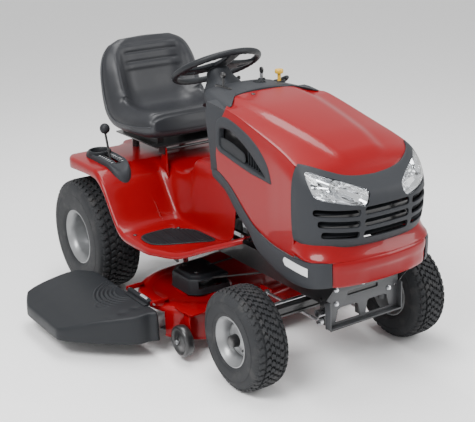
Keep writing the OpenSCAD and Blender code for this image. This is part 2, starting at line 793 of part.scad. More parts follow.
// ---------- steering ----------
rim_tube = 14;
module steering_wheel() {
  color("#2b2c2e")
  on_shaft() translate([0, 0, shaft_len]) {
    difference() {
      union() {
        rotate_extrude($fn = 96)
          translate([wheel_r - rim_tube, 0]) circle(r = rim_tube, $fn = 24);
        translate([0, 0, -58]) cylinder(h = 62, r = 34);
        // two wide spokes and one at the back, dished towards the hub
        pair() {
          block([20, -30, -30], [92, 34, -20]);
          block([84, -30, -30], [94, 34, 2]);
          block([88, -26, -6], [wheel_r - 18, 30, 4]);
        }
        block([-24, -wheel_r + 18, -8], [24, -80, 2]);
        block([-24, -90, -30], [24, -20, -20]);
        block([-24, -92, -30], [24, -80, 2]);
      }
      translate([0, 0, -60]) cylinder(h = 40, r = 9.5);
      // slots of the spokes
      pair() block([106, -8, -20], [146, 14, 20]);
    }
  }
}
module steering_shaft() {
  color("#77797c")
  on_shaft() {
    cylinder(h = shaft_len - 21, r = 9.4);
    // pinion
    difference() {
      cylinder(h = 22, r = pinion_r + 1.4);
      for (a = [0:360 / steer_teeth:359]) {
        rotate([0, 0, a]) translate([pinion_r + 1.4, 0, -1]) cylinder(h = 24, r = 2.6, $fn = 16);
      }
    }
  }
}
arc_r = mesh_gap + pinion_r + 2;
module sector_gear() {
  color("#6d6f72")
  on_shaft() translate([0, -mesh_gap, 0]) {
    // toothed arc behind the pinion, with two arms that leave room for it
    difference() {
      intersection() {
        translate([0, 0, 6]) cylinder(h = 8, r = arc_r + 13, $fn = 96);
        union() {
          difference() {
            linear_extrude(height = 20) polygon([[0, -8], [130, 60], [130, 130], [-130, 130], [-130, 60]]);
            cylinder(h = 40, r = arc_r, center = true, $fn = 96);
          }
          linear_extrude(height = 20) polygon([[0, -10], [90, 42], [84, 52], [0, 12], [-84, 52], [-90, 42]]);
          cylinder(h = 20, r = 18);
        }
      }
      for (a = [-48:360 / sector_teeth:48]) {
        rotate([0, 0, 90 + a]) translate([arc_r, 0, 0]) cylinder(h = 20, r = 2.4, $fn = 16);
      }
    }
    // sector shaft and pitman arm
    translate([0, 0, -pitman_drop - 6]) cylinder(h = pitman_drop + 50, r = 10);
    translate([-11, 0, -pitman_drop - 6]) cube([22, arm_r, 8]);
    translate([0, arm_r, -pitman_drop - 6]) cylinder(h = 8, r = 11);
  }
  // vertical stud of the pitman arm
  zbar(0, pitman_y + arm_r * lean_c, drag_z - 30, pitman_z - arm_r * lean_s + 2, pin_r);
}
drag_end_y = pitman_y + arm_r * lean_c;
module drag_link() {
  color("#b9bcc0")
  difference() {
    union() {
      bar([11, drag_end_y - 11, drag_z], [king_x - 8, fy + arm_r + 8, drag_z], 6);
      zbar(0, drag_end_y, drag_z - eye_h, drag_z + eye_h, pin_r + link_play + 7);
      zbar(king_x, fy + arm_r, drag_z - 6, drag_z + 6, 13);
    }
    zbar(0, drag_end_y, drag_z - 20, drag_z + 20, pin_r + link_play);
    zbar(king_x, fy + arm_r, drag_z - 20, drag_z + 20, pin_r + run_gap);
  }
}
module tie_rod() {
  color("#b9bcc0")
  difference() {
    union() {
      xbar(-king_x + 8, king_x - 8, fy + arm_r, tie_z, 6);
      pair() zbar(king_x, fy + arm_r, tie_z - 6, tie_z + 6, 13);
    }
    zbar(-king_x, fy + arm_r, tie_z - 20, tie_z + 20, pin_r + pin_play);
    zbar(king_x, fy + arm_r, tie_z - 20, tie_z + 20, pin_r + run_gap);
  }
}
king_r = 9.5;
module front_axle() {
  color("#26272a")
  difference() {
    union() {
      block([-king_x, fy - 18, 232], [king_x, fy + 18, 268]);
      pair() zbar(king_x, fy, 216, king_top, 17);
      ybar(fy - 27.5, fy + 27.5, 0, 250, 20);
    }
    pair() zbar(king_x, fy, 200, 300, king_r + run_gap);
    block([-240, fy - 30, 240], [-30, fy - 12, 260]);
    block([30, fy - 30, 240], [240, fy - 12, 260]);
    block([-240, fy + 12, 240], [-30, fy + 30, 260]);
    block([30, fy + 12, 240], [240, fy + 30, 260]);
  }
  // pivot pin
  color("#77797c") ybar(fy - 46, fy + 46, 0, 250, 9);
}
module spindle() {
  color("#4a4c50")
  union() {
    zbar(king_x, fy, axle_z - 16, king_top + 10, king_r);
    zbar(king_x, fy, axle_z - 16, 216 - small_gap, 17);
    xbar(king_x, front_track / 2 + 58, fy, axle_z, 9.5);
    xbar(king_x, king_x + 20, fy, axle_z, 16);
    // steering arm on top of the kingpin
    block([king_x - 12, fy, king_top + small_gap], [king_x + 12, fy + arm_r, king_top + 8]);
    zbar(king_x, fy, king_top + small_gap, king_top + 12, 17);
    zbar(king_x, fy + arm_r, king_top + small_gap, king_top + 8, 12);
    zbar(king_x, fy + arm_r, tie_z - 12, king_top + 4, pin_r);
  }
}
module spindle_left() {
  spindle();
}
module spindle_right() {
  mirror([1, 0, 0]) spindle();
}

// ---------- wheels ----------
// Tyre about the X axis with block tread
module tyre(r, w, rim, blocks, bh) {
  color("#1b1b1c")
  rotate([0, 90, 0]) {
    difference() {
      rotate_extrude($fn = 96)
        polygon([[rim, -w / 2 + 18], [rim + 14, -w / 2 + 4], [(r + rim) / 2, -w / 2],
          [r - 30, -w / 2 + 6], [r - 9, -w / 2 + 22], [r, -w / 4], [r, w / 4], [r - 9, w / 2 - 22],
          [r - 30, w / 2 - 6], [(r + rim) / 2, w / 2], [rim + 14, w / 2 - 4], [rim, w / 2 - 18],
          [rim + 10, w / 2 - 26], [(r + rim) / 2, w / 2 - 12], [r - 34, w / 2 - 16],
          [r - 20, w / 4], [r - 20, -w / 4], [r - 34, -w / 2 + 16], [(r + rim) / 2, -w / 2 + 12],
          [rim + 10, -w / 2 + 26]]);
      // cross grooves
      for (a = [0:360 / blocks:359]) {
        rotate([0, 0, a]) translate([r - bh, -3, -w / 2]) cube([bh + 5, 6, w * 0.42]);
        rotate([0, 0, a + 180 / blocks]) translate([r - bh, -3, w * 0.08]) cube([bh + 5, 6, w * 0.42]);
      }
      // grooves round the tread
      rotate_extrude($fn = 96) translate([r - bh, -3]) square([bh + 2, 6]);
    }
  }
}
module tyre_front_left() {
  translate([front_track / 2, fy, axle_z]) tyre(front_tyre_r, front_tyre_w, front_rim_r, 24, 7);
}
module tyre_front_right() {
  translate([-front_track / 2, fy, axle_z]) tyre(front_tyre_r, front_tyre_w, front_rim_r, 24, 7);
}
module tyre_rear_left() {
  translate([rear_track / 2, ry, rear_tyre_r]) tyre(rear_tyre_r, rear_tyre_w, rear_rim_r, 28, 9);
}
module tyre_rear_right() {
  translate([-rear_track / 2, ry, rear_tyre_r]) tyre(rear_tyre_r, rear_tyre_w, rear_rim_r, 28, 9);
}
// Pressed steel rim, its outer face towards +X
module rim(r, w, dish, hub_r, bore) {
  h = w / 2 - 18;
  color("#c9ccd0")
  rotate([0, 90, 0])
    difference() {
      union() {
        rotate_extrude($fn = 72)
          polygon([[r - 0.3, -h], [r + 6, -h - 8], [r + 3, -h - 12], [r - 10, -h - 3], [r - 13, -h + 14],
            [r - 24, -h + 20], [r - 24, dish - 3], [hub_r, dish - 3], [hub_r, dish + 3],
            [r - 22, dish + 3], [r - 16, h - 20], [r - 10, h - 14], [r - 7, h + 3], [r + 3, h + 12],
            [r + 6, h + 8], [r - 0.3, h], [r - 4, h - 16], [r - 14, h - 24], [r - 14, -h + 24], [r - 4, -h + 16]]);
        translate([0, 0, -h + 2]) cylinder(h = h + dish + 14, r = hub_r + 4);
      }
      translate([0, 0, -w]) cylinder(h = 2 * w, r = bore);
      // round hole in the dish
      translate([(r - 20 + hub_r) / 2, 0, dish - 10]) cylinder(h = 20, r = 7);
    }
}
module front_rim() {
  difference() {
    rim(front_rim_r, front_tyre_w, 30, 16, 9.5 + run_gap);
    rotate([0, 90, 0]) translate([0, 0, 44]) cylinder(h = 20, r = 16);
  }
  // retaining washer and cap
  color("#1a1a1b") rotate([0, 90, 0]) difference() {
    translate([0, 0, 44 + small_gap]) cylinder(h = 20, r = 19);
    translate([0, 0, 30]) cylinder(h = 30, r = 15);
  }
}
module rear_rim() {
  rim(rear_rim_r, rear_tyre_w, 24, 24, 12.7);
  // axle shaft turning in the transaxle
  color("#77797c") rotate([0, 90, 0]) translate([0, 0, 125 - rear_track / 2])
    cylinder(h = rear_track / 2 - 125 + 52, r = 12.7);
  // end washer
  color("#2a2a2c") rotate([0, 90, 0]) translate([0, 0, 52]) cylinder(h = 8, r = 20);
}
module rim_front_left() {
  translate([front_track / 2, fy, axle_z]) front_rim();
}
module rim_front_right() {
  translate([-front_track / 2, fy, axle_z]) mirror([1, 0, 0]) front_rim();
}
module rim_rear_left() {
  translate([rear_track / 2, ry, rear_tyre_r]) rear_rim();
}
module rim_rear_right() {
  translate([-rear_track / 2, ry, rear_tyre_r]) mirror([1, 0, 0]) rear_rim();
}

// ---------- deck ----------
sheet = 3;
module deck_plan(r) {
  translate([man_rx, man_ry]) circle(r = r, $fn = 96);
  translate([man_lx, man_ly]) circle(r = r, $fn = 96);
  polygon([[man_rx, man_ry - r], [man_lx, man_ry - r + 20], [man_lx, man_ly + r], [man_rx, man_ry + r]]);
}
module mower_deck() {
  color("#a50d10")
  difference() {
    union() {
      plan(deck_z, deck_top) deck_plan(deck_r);
      // gauge wheel brackets
      for (x = [gauge_rx, gauge_lx]) {
        s = x < 0 ? 1 : -1;
        block([x + s * 25 - 3, gauge_y - 20, gauge_z - 20], [x + s * 25 + 3, gauge_y + 20, deck_top]);
        block([min(x + s * 25 - 3, x + s * 110), gauge_y - 20, deck_top - 6],
          [max(x + s * 25 + 3, x + s * 110), gauge_y + 90, deck_top]);
        xbar(x - 28, x + 28, gauge_y, gauge_z, 6);
      }
      // brackets of the rear arms
      for (x = [-1, 1]) {
        block([x * 150 - 3, arm_deck_y - 18, deck_top - 1], [x * 150 + 3, arm_deck_y + 18, arm_pin_z + 14]);
        xbar(x > 0 ? 150 : -166, x > 0 ? 166 : -150, arm_deck_y, arm_pin_z, 6);
      }
      // brackets of the front link
      for (x = [-1, 1]) {
        block([x * 83 - 3, link_deck_y - 14, deck_top - 20], [x * 83 + 3, link_deck_y + 60, link_z + 14]);
        xbar(x > 0 ? 80 : -110, x > 0 ? 110 : -80, link_deck_y, link_z, 6);
      }
      // chute hinge ears
      for (y = [man_ry - 90, man_ry + 110]) {
        block([chute_hinge_x - 9, y, chute_hinge_z - 9], [deck_right + 60, y + 8, chute_hinge_z + 9]);
        block([deck_right + 40, y, deck_top - 4], [deck_right + 60, y + 8, chute_hinge_z]);
      }
    }
    plan(deck_z - 10, deck_top - sheet) deck_plan(deck_r - sheet);
    // side discharge opening
    block([deck_right - 30, man_ry - 110, deck_z - 10], [deck_right + 120, man_ry + 150, deck_top - 22]);
    // spindle holes
    zbar(man_rx, man_ry, 100, 300, 34);
    zbar(man_lx, man_ly, 100, 300, 34);
    // chute hinge pin
    ybar(man_ry - 200, man_ry + 300, chute_hinge_x, chute_hinge_z, 4 + run_gap);
  }
}
cover_top = deck_top + 76;
module cover(x, y, s) {
  difference() {
    plan(deck_top + small_gap, cover_top)
      polygon([[x - s * 108, y - 70], [x - s * 70, y - 104], [x + s * 66, y - 104], [x + s * 66, y + 104],
        [x - s * 60, y + 104], [x - s * 108, y + 60]]);
    plan(deck_top - 5, cover_top - 4)
      polygon([[x - s * 104, y - 68], [x - s * 68, y - 100], [x + s * 80, y - 100], [x + s * 80, y + 100],
        [x - s * 58, y + 100], [x - s * 104, y + 58]]);
    // belt passage towards the engine
    block([x - 90, y - 120, pulley_z - 14], [x + 90, y - 90, pulley_z + 30]);
  }
}
module belt_covers() {
  color("#2e2f31")
  union() {
    cover(man_rx, man_ry, 1);
    cover(man_lx, man_ly, -1);
  }
}
module mandrel(x, y) {
  difference() {
    union() {
      zbar(x, y, deck_top + small_gap, deck_top + 8, 58);
      zbar(x, y, deck_top - 60, pulley_z - 12, 28);
    }
    zbar(x, y, 100, 300, shaft_r + run_gap);
  }
}
module mandrels() {
  color("#8d9094")
  union() {
    mandrel(man_rx, man_ry);
    mandrel(man_lx, man_ly);
  }
}
module blade(x, y, a) {
  color("#6f7276")
  union() {
    translate([x, y, 0])
      rotate([0, 0, a])
        union() {
          block([-blade_len / 2, -27, 72], [blade_len / 2, 27, 76]);
          block([blade_len / 2 - 110, 12, 75], [blade_len / 2 - 6, 24, 92]);
          block([-blade_len / 2 + 6, -24, 75], [-blade_len / 2 + 110, -12, 92]);
        }
    zbar(x, y, 64, pulley_z + 16, shaft_r);
    zbar(x, y, 64, 72.5, 22);
    zbar(x, y, 75.5, deck_top - 60 - small_gap, 22);
    difference() {
      zbar(x, y, pulley_z - 10, pulley_z + 10, pulley_r);
      translate([x, y, pulley_z])
        rotate_extrude()
          translate([groove_r, -8]) square([20, 16]);
    }
  }
}
module blade_left() {
  blade(man_lx, man_ly, 20);
}
module blade_right() {
  blade(man_rx, man_ry, 20);
}
module engine_pulley() {
  color("#6f7276")
  union() {
    zbar(0, engine_y, engine_pulley_z - 14, 490, 18);
    difference() {
      zbar(0, engine_y, engine_pulley_z - 10, engine_pulley_z + 10, engine_pulley_r + 2);
      translate([0, engine_y, engine_pulley_z])
        rotate_extrude()
          translate([engine_pulley_r, -8]) square([20, 16]);
    }
    difference() {
      zbar(0, engine_y, drive_pulley_z - 9, drive_pulley_z + 9, engine_pulley_r + 4);
      translate([0, engine_y, drive_pulley_z])
        rotate_extrude()
          translate([engine_pulley_r, -5.5]) square([20, 11]);
    }
  }
}
belt_r = 4;
belt_out = groove_r + belt_r + 0.6;
belt_in = engine_pulley_r + belt_r + 0.6;
// Directions in which the belt leaves the pulleys
right_dir = atan2(man_ry - engine_y, man_rx)
  + acos((belt_in - belt_out) / norm([man_rx, man_ry - engine_y]));
left_dir = atan2(man_ly - engine_y, man_lx)
  - acos((belt_in - belt_out) / norm([man_lx, man_ly - engine_y]));
rear_dir = 90 + atan2(man_ly - man_ry, man_lx - man_rx);
function rim_point(x, y, z, r, a) = [x + r * cos(a), y + r * sin(a), z];
module belt_arc(x, y, z, r, a0, a1) {
  translate([x, y, z])
    rotate([0, 0, a0])
      rotate_extrude(angle = a1 - a0, $fn = 72)
        translate([r, 0]) circle(r = belt_r + 0.3, $fn = 16);
}
module mower_belt() {
  color("#151515")
  union() {
    bar(rim_point(0, engine_y, engine_pulley_z, belt_in, left_dir),
      rim_point(man_lx, man_ly, pulley_z, belt_out, left_dir), belt_r);
    bar(rim_point(0, engine_y, engine_pulley_z, belt_in, right_dir),
      rim_point(man_rx, man_ry, pulley_z, belt_out, right_dir), belt_r);
    bar(rim_point(man_rx, man_ry, pulley_z, belt_out, rear_dir),
      rim_point(man_lx, man_ly, pulley_z, belt_out, rear_dir), belt_r);
    belt_arc(0, engine_y, engine_pulley_z, belt_in, right_dir, left_dir + 360);
    belt_arc(man_lx, man_ly, pulley_z, belt_out, left_dir, rear_dir);
    belt_arc(man_rx, man_ry, pulley_z, belt_out, rear_dir, right_dir);
  }
}
chute_plan = [[chute_hinge_x - 11, -200], [-590, -200], [-790, -20], [-chute_reach, 40],
  [-chute_reach, 330], [-790, 425], [-560, 398], [-510, 330], [chute_hinge_x - 11, 160]];
chute_in = [[chute_hinge_x + 40, -196], [-589, -196], [-788, -15], [-chute_reach - 20, 42],
  [-chute_reach - 20, 460], [-790, 421], [-562, 394], [-513, 328], [chute_hinge_x + 40, 156]];
module discharge_chute() {
  color("#333437")
  union() {
    difference() {
      intersection() {
        cross(-300, 460)
          polygon([[chute_hinge_x + 8, deck_z + 12], [chute_hinge_x + 8, deck_top + 6], [-620, 186],
            [-750, 156], [-chute_reach, 118], [-chute_reach, deck_z + 12]]);
        plan(50, 300) polygon(chute_plan);
      }
      intersection() {
        cross(-400, 560)
          polygon([[chute_hinge_x + 50, 0], [chute_hinge_x + 50, deck_top + 1], [-620, 181],
            [-750, 151], [-chute_reach, 113], [-chute_reach - 30, 96], [-chute_reach - 30, 0]]);
        plan(20, 300) polygon(chute_in);
      }
    }
    // hinge knuckle
    block([chute_hinge_x - 30, man_ry - 70, deck_top + 1], [chute_hinge_x - 8, man_ry + 98, deck_top + 9]);
    block([chute_hinge_x - 14, man_ry - 70, deck_top + 5], [chute_hinge_x, man_ry + 98, chute_hinge_z + 8]);
    ybar(man_ry - 70, man_ry + 98, chute_hinge_x, chute_hinge_z, 8);
    // hinge pin
    ybar(man_ry - 100, man_ry + 128, chute_hinge_x, chute_hinge_z, 4);
  }
}
module gauge_wheel(x) {
  color("#1a1a1b")
  difference() {
    union() {
      xbar(x - 18, x + 18, gauge_y, gauge_z, gauge_r);
      xbar(x - 21, x + 21, gauge_y, gauge_z, 16);
    }
    xbar(x - 30, x + 30, gauge_y, gauge_z, 6 + run_gap);
  }
}
module gauge_wheel_left() {
  gauge_wheel(gauge_lx);
}
module gauge_wheel_right() {
  gauge_wheel(gauge_rx);
}
module rear_arms() {
  color("#b9bcc0")
  pair()
    difference() {
      side(154, 160)
        polygon([[arm_deck_y - 14, arm_pin_z - 14], [arm_deck_y - 14, arm_pin_z + 14],
          [arm_hanger_y + 14, arm_pin_z + 14], [arm_hanger_y + 14, arm_pin_z - 14]]);
      xbar(140, 180, arm_hanger_y, arm_pin_z, 6 + run_gap);
      xbar(140, 180, arm_deck_y, arm_pin_z, 9);
    }
}
module front_link() {
  color("#c4c7ca")
  difference() {
    union() {
      pair() {
        ybar(link_hanger_y, link_deck_y, link_x, link_z, 6);
        xbar(link_x - 7, link_x + 7, link_hanger_y, link_z, 13);
        xbar(link_x - 7, link_x + 7, link_deck_y, link_z, 13);
      }
      xbar(-link_x, link_x, (link_hanger_y + link_deck_y) / 2, link_z, 6);
    }
    xbar(-120, 120, link_hanger_y, link_z, 6 + run_gap);
    xbar(-120, 120, link_deck_y, link_z, 8.5);
  }
}
lift_pin_x = 180;
module lift_lever() {
  color("#26272a")
  union() {
    xbar(-lift_pin_x - 12, lever_x + 4, lift_y, lift_z, 8);
    // arms that carry the deck
    for (x = [-lift_pin_x, lift_pin_x]) {
      block([x - 12, lift_y - lift_arm, lift_z - 8], [x - 6, lift_y, lift_z + 8]);
      xbar(x - 12, x - 6, lift_y - lift_arm, lift_z, 11);
      xbar(x - 12, x + 8, lift_y - lift_arm, lift_z, 5);
    }
    // hand lever, bent forward at the top
    bar([lever_x, lift_y, lift_z], [lever_x, lift_y - 10, 720], 7);
    translate([lever_x, lift_y - 10, 720]) sphere(r = 8);
    bar([lever_x, lift_y - 10, 720], [lever_x, 262, 840], 7);
    translate([lever_x, 262, 840]) sphere(r = 8);
    bar([lever_x, 262, 840], [lever_x, 102, 930], 7);
    bar([lever_x, 214, 867], [lever_x, 98, 932.25], 14);
  }
}
module lift_links() {
  color("#b9bcc0")
  for (x = [-lift_pin_x, lift_pin_x]) {
    difference() {
      side(x - 2.5, x + 3.5)
        polygon([[lift_y - lift_arm - 16, deck_top + small_gap], [lift_y - lift_arm + 16, deck_top + small_gap],
          [lift_y - lift_arm + 16, lift_z + 16], [lift_y - lift_arm - 16, lift_z + 16]]);
      // slot that lets the arm's pin slide
      block([x - 10, lift_y - lift_arm - 6, lift_z - 6.5], [x + 10, lift_y - lift_arm + 11, lift_z + 6.5]);
    }
  }
}

// ---------- driver's place ----------
module seat_cushion() {
  color("#2b2c2f")
  union() {
    side(-seat_half + 22, seat_half - 22)
      polygon([[seat_front + 42, seat_floor], [seat_front + 2, seat_floor + 26], [seat_front, seat_floor + 100],
        [seat_front + 34, seat_floor + 124], [seat_front + 110, seat_floor + 104], [560, seat_floor + 92],
        [622, seat_floor + 118], [652, seat_floor + 190], [676, seat_floor + 300], [700, seat_floor + 376],
        [730, seat_floor + 388], [758, seat_floor + 372], [762, seat_floor + 300], [740, seat_floor + 160],
        [716, seat_floor + 40], [680, seat_floor]]);
    // side bolsters
    pair()
      side(seat_half - 50, seat_half)
        polygon([[seat_front + 60, seat_floor + 12], [seat_front + 20, seat_floor + 60],
          [seat_front + 60, seat_floor + 134], [500, seat_floor + 140], [580, seat_floor + 190],
          [640, seat_floor + 330], [690, seat_floor + 350], [742, seat_floor + 330], [722, seat_floor + 120],
          [690, seat_floor + 12]]);
  }
}
module seat_pan() {
  color("#161617")
  union() {
    block([-190, pan_pivot_y - 16, 668], [190, 690, 674]);
    pair() {
      // slide rails under the seat
      block([130, 360, 673], [160, 680, seat_floor - small_gap]);
      block([150, pan_pivot_y - 14, pan_pivot_z - 14], [156, pan_pivot_y + 30, 670]);
      // rubber stops
      zbar(120, 640, fender_z + small_gap, 669, 16);
    }
    xbar(-156, 156, pan_pivot_y, pan_pivot_z, 6);
  }
}
// hinge ears of the seat stand on the fender, so they belong to the fender body
module seat_ears() {
  pair()
    difference() {
      side(140, 146)
        polygon([[pan_pivot_y - 26, 487], [pan_pivot_y - 14, pan_pivot_z + 10],
          [pan_pivot_y - 8, pan_pivot_z + 15], [pan_pivot_y + 8, pan_pivot_z + 15],
          [pan_pivot_y + 14, pan_pivot_z + 10], [pan_pivot_y + 46, 570]]);
      xbar(100, 200, pan_pivot_y, pan_pivot_z, 6 + run_gap);
    }
}
module shift_lever() {
  color("#1a1a1b")
  union() {
    xbar(shift_x - 24, shift_x + 24, shift_y, shift_z, 6);
    bar([shift_x, shift_y, shift_z], [shift_x, shift_y + 40, 730], 6);
    translate([shift_x, shift_y + 41, 742]) sphere(r = 22);
  }
}
module brake_pedal() {
  color("#1a1a1b")
  union() {
    xbar(rail_half + small_gap, pedal_x + 10, pedal_y, pedal_z, 8);
    bar([pedal_x, pedal_y, pedal_z], [pedal_x, pedal_y - 92, pedal_z + 170], 7);
    translate([pedal_x, pedal_y - 96, pedal_z + 180])
      rotate([62, 0, 0])
        cube([90, 70, 10], center = true);
  }
}
module parking_brake() {
  color("#26272a")
  union() {
    xbar(84, 107.6, 88, 900, 5);
    bar([100, 88, 900], [100, 112, 935], 4);
    translate([100, 112, 935]) sphere(r = 4.8);
    bar([100, 112, 935], [106, 116, 958], 4);
    translate([106, 116, 960]) sphere(r = 8);
  }
}
module throttle_lever() {
  color("#1a1a1b")
  union() {
    xbar(-112, -88, -90, 940, 5);
    block([-102, -95, 940], [-98, -85, 1022]);
    translate([-100, -90, 1028]) rotate([0, 90, 0]) cylinder(h = 14, r = 12, center = true);
  }
}
module ignition_key() {
  color("#6f7276")
  union() {
    zbar(100, -60, 980, 1004, 7);
    block([96, -72, 1003], [104, -48, 1030]);
  }
}
module pto_knob() {
  color("#c9a21a")
  union() {
    zbar(150, -110, 965, 1008, 7);
    zbar(150, -110, 1003, 1022, 17);
  }
}

// ---------- place in the shared frame ----------
box_right = -chute_reach;
box_left = deck_left;
box_back = ry + rear_tyre_r;
module place() {
  translate([-(box_right + box_left) / 2, -(front_end + box_back) / 2, 0])
    children();
}

place() frame_rails();
place() front_plate();
place() hitch_plate();
place() fender_body();
place() foot_pads();
place() dash_tower();
place() fender_consoles();
place() engine_block();
place() engine_shroud();
place() muffler();
place() battery();
place() fuel_tank();
place() transaxle();
place() drive_belt();
place() hood_shell();
place() side_vents();
place() lower_trims();
place() grille();
place() headlight_reflectors();
place() headlight_lenses();
place() front_bumper();
place() hood_hinge();
place() steering_wheel();
place() steering_shaft();
place() sector_gear();
place() drag_link();
place() tie_rod();
place() front_axle();
place() spindle_left();
place() spindle_right();
place() tyre_front_left();
place() tyre_front_right();
place() tyre_rear_left();
place() tyre_rear_right();
place() rim_front_left();
place() rim_front_right();
place() rim_rear_left();
place() rim_rear_right();
place() mower_deck();
place() belt_covers();
place() mandrels();
place() discharge_chute();
place() gauge_wheel_left();
place() gauge_wheel_right();
place() blade_left();
place() blade_right();
place() engine_pulley();
place() mower_belt();
place() rear_arms();
place() front_link();
place() lift_lever();
place() lift_links();
place() seat_cushion();
place() seat_pan();
place() shift_lever();
place() brake_pedal();
place() parking_brake();
place() throttle_lever();
place() ignition_key();
place() pto_knob();
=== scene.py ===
"""Riding lawn mower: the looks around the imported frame. Shapes are written in the tractor frame, in mm."""

import math

import bmesh
import bpy
from mathutils import Matrix, Vector


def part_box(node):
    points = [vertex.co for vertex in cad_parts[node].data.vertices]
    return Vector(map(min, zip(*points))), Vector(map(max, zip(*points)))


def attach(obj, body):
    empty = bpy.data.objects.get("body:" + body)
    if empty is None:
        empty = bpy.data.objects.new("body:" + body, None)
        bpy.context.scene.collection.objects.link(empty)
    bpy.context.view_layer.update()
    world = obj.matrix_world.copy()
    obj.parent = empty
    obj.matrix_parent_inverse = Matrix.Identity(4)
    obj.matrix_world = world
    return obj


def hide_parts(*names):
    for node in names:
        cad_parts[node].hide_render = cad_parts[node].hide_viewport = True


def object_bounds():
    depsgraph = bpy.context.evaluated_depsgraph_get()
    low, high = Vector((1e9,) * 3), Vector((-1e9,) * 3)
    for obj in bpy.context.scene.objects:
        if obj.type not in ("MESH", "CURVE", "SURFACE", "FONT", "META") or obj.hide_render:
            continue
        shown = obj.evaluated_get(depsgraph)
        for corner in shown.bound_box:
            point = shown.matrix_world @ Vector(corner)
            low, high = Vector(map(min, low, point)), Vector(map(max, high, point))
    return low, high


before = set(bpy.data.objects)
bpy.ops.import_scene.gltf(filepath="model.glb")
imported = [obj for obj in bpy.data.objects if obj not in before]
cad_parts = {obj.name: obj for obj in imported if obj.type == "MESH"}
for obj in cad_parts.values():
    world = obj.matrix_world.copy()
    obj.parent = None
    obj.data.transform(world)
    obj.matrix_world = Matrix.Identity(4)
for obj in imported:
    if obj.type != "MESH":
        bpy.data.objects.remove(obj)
cad_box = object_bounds()

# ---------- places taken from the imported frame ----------
FRAME_LO = cad_box[0]
WHEEL_LO, WHEEL_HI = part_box("tyre_front_left")
REAR_LO, REAR_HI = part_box("tyre_rear_left")
RIGHT_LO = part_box("tyre_rear_right")[0]
# tractor frame: centreline midway between the rear tyres, midway between the axles
DX = (REAR_HI.x + RIGHT_LO.x) / 2 * 1000
FRONT_AXLE_Y = (WHEEL_LO.y + WHEEL_HI.y) / 2 * 1000
REAR_AXLE_Y = (REAR_LO.y + REAR_HI.y) / 2 * 1000
DY = (FRONT_AXLE_Y + REAR_AXLE_Y) / 2
FY = FRONT_AXLE_Y - DY
RY = REAR_AXLE_Y - DY
FE = FRAME_LO.y * 1000 - DY


def place(p):
    """A tractor-frame point in mm as a row-frame point in metres."""
    return Vector(((p[0] + DX) / 1000, (p[1] + DY) / 1000, p[2] / 1000))


# steering column: its lean from upright and the wheel's hub
COLUMN_LEAN = math.radians(27.3)
COLUMN_AXIS = Vector((0, math.sin(COLUMN_LEAN), math.cos(COLUMN_LEAN)))
WHEEL_HUB = Vector((0, 116, 1019))
# the tunnel's height under the dash, and half the dash's width where its top arches
TUNNEL_Z, DASH_ARCH_HALF = 655, 214


# ---------- interpolation ----------
def lerp_table(table, t):
    """Value at t in a table of (t, value) rows, in straight steps between them."""
    rows = sorted(table)
    if t <= rows[0][0]:
        return rows[0][1]
    for (t0, v0), (t1, v1) in zip(rows, rows[1:]):
        if t <= t1:
            return v0 + (v1 - v0) * (t - t0) / (t1 - t0)
    return rows[-1][1]


def smooth(lo, hi, t):
    """0 before lo, 1 after hi, and an s-curve between."""
    s = min(1.0, max(0.0, (t - lo) / (hi - lo)))
    return s * s * (3 - 2 * s)


def catmull(points, n, closed=False):
    """n points on a smooth curve through the given ones."""
    pts = [Vector(p) for p in points]
    count = len(pts)
    spans = count if closed else count - 1
    total = n if closed else n - 1
    out = []
    for k in range(n):
        t = k * spans / total
        i = min(int(t), spans - 1)
        f = t - i
        if closed:
            a, b, c, d = (pts[(i + o) % count] for o in (-1, 0, 1, 2))
        else:
            b, c = pts[i], pts[i + 1]
            a = pts[i - 1] if i > 0 else b + (b - c)
            d = pts[i + 2] if i + 2 < count else c + (c - b)
        f2, f3 = f * f, f * f * f
        out.append(0.5 * (2 * b + (c - a) * f + (2 * a - 5 * b + 4 * c - d) * f2
            + (3 * b - a - 3 * c + d) * f3))
    return out


def even(points, n, closed=False):
    """The same smooth curve with its n points evenly spaced."""
    fine = catmull(points, max(200, n * 6), closed)
    if closed:
        fine.append(fine[0])
    length = [0.0]
    for a, b in zip(fine, fine[1:]):
        length.append(length[-1] + (b - a).length)
    out, j = [], 0
    steps = n if closed else n - 1
    for k in range(n):
        want = length[-1] * k / steps
        while j < len(length) - 2 and length[j + 1] < want:
            j += 1
        gap = length[j + 1] - length[j]
        out.append(fine[j].lerp(fine[j + 1], (want - length[j]) / gap if gap else 0))
    return out


def net(rows, nu, nv, closed_v=False):
    """A dense grid through a small net of control points: nu rows of nv points."""
    wide = [catmull(r, nv, closed_v) for r in rows]
    columns = [catmull([w[j] for w in wide], nu) for j in range(nv)]
    return [[columns[j][i] for j in range(nv)] for i in range(nu)]


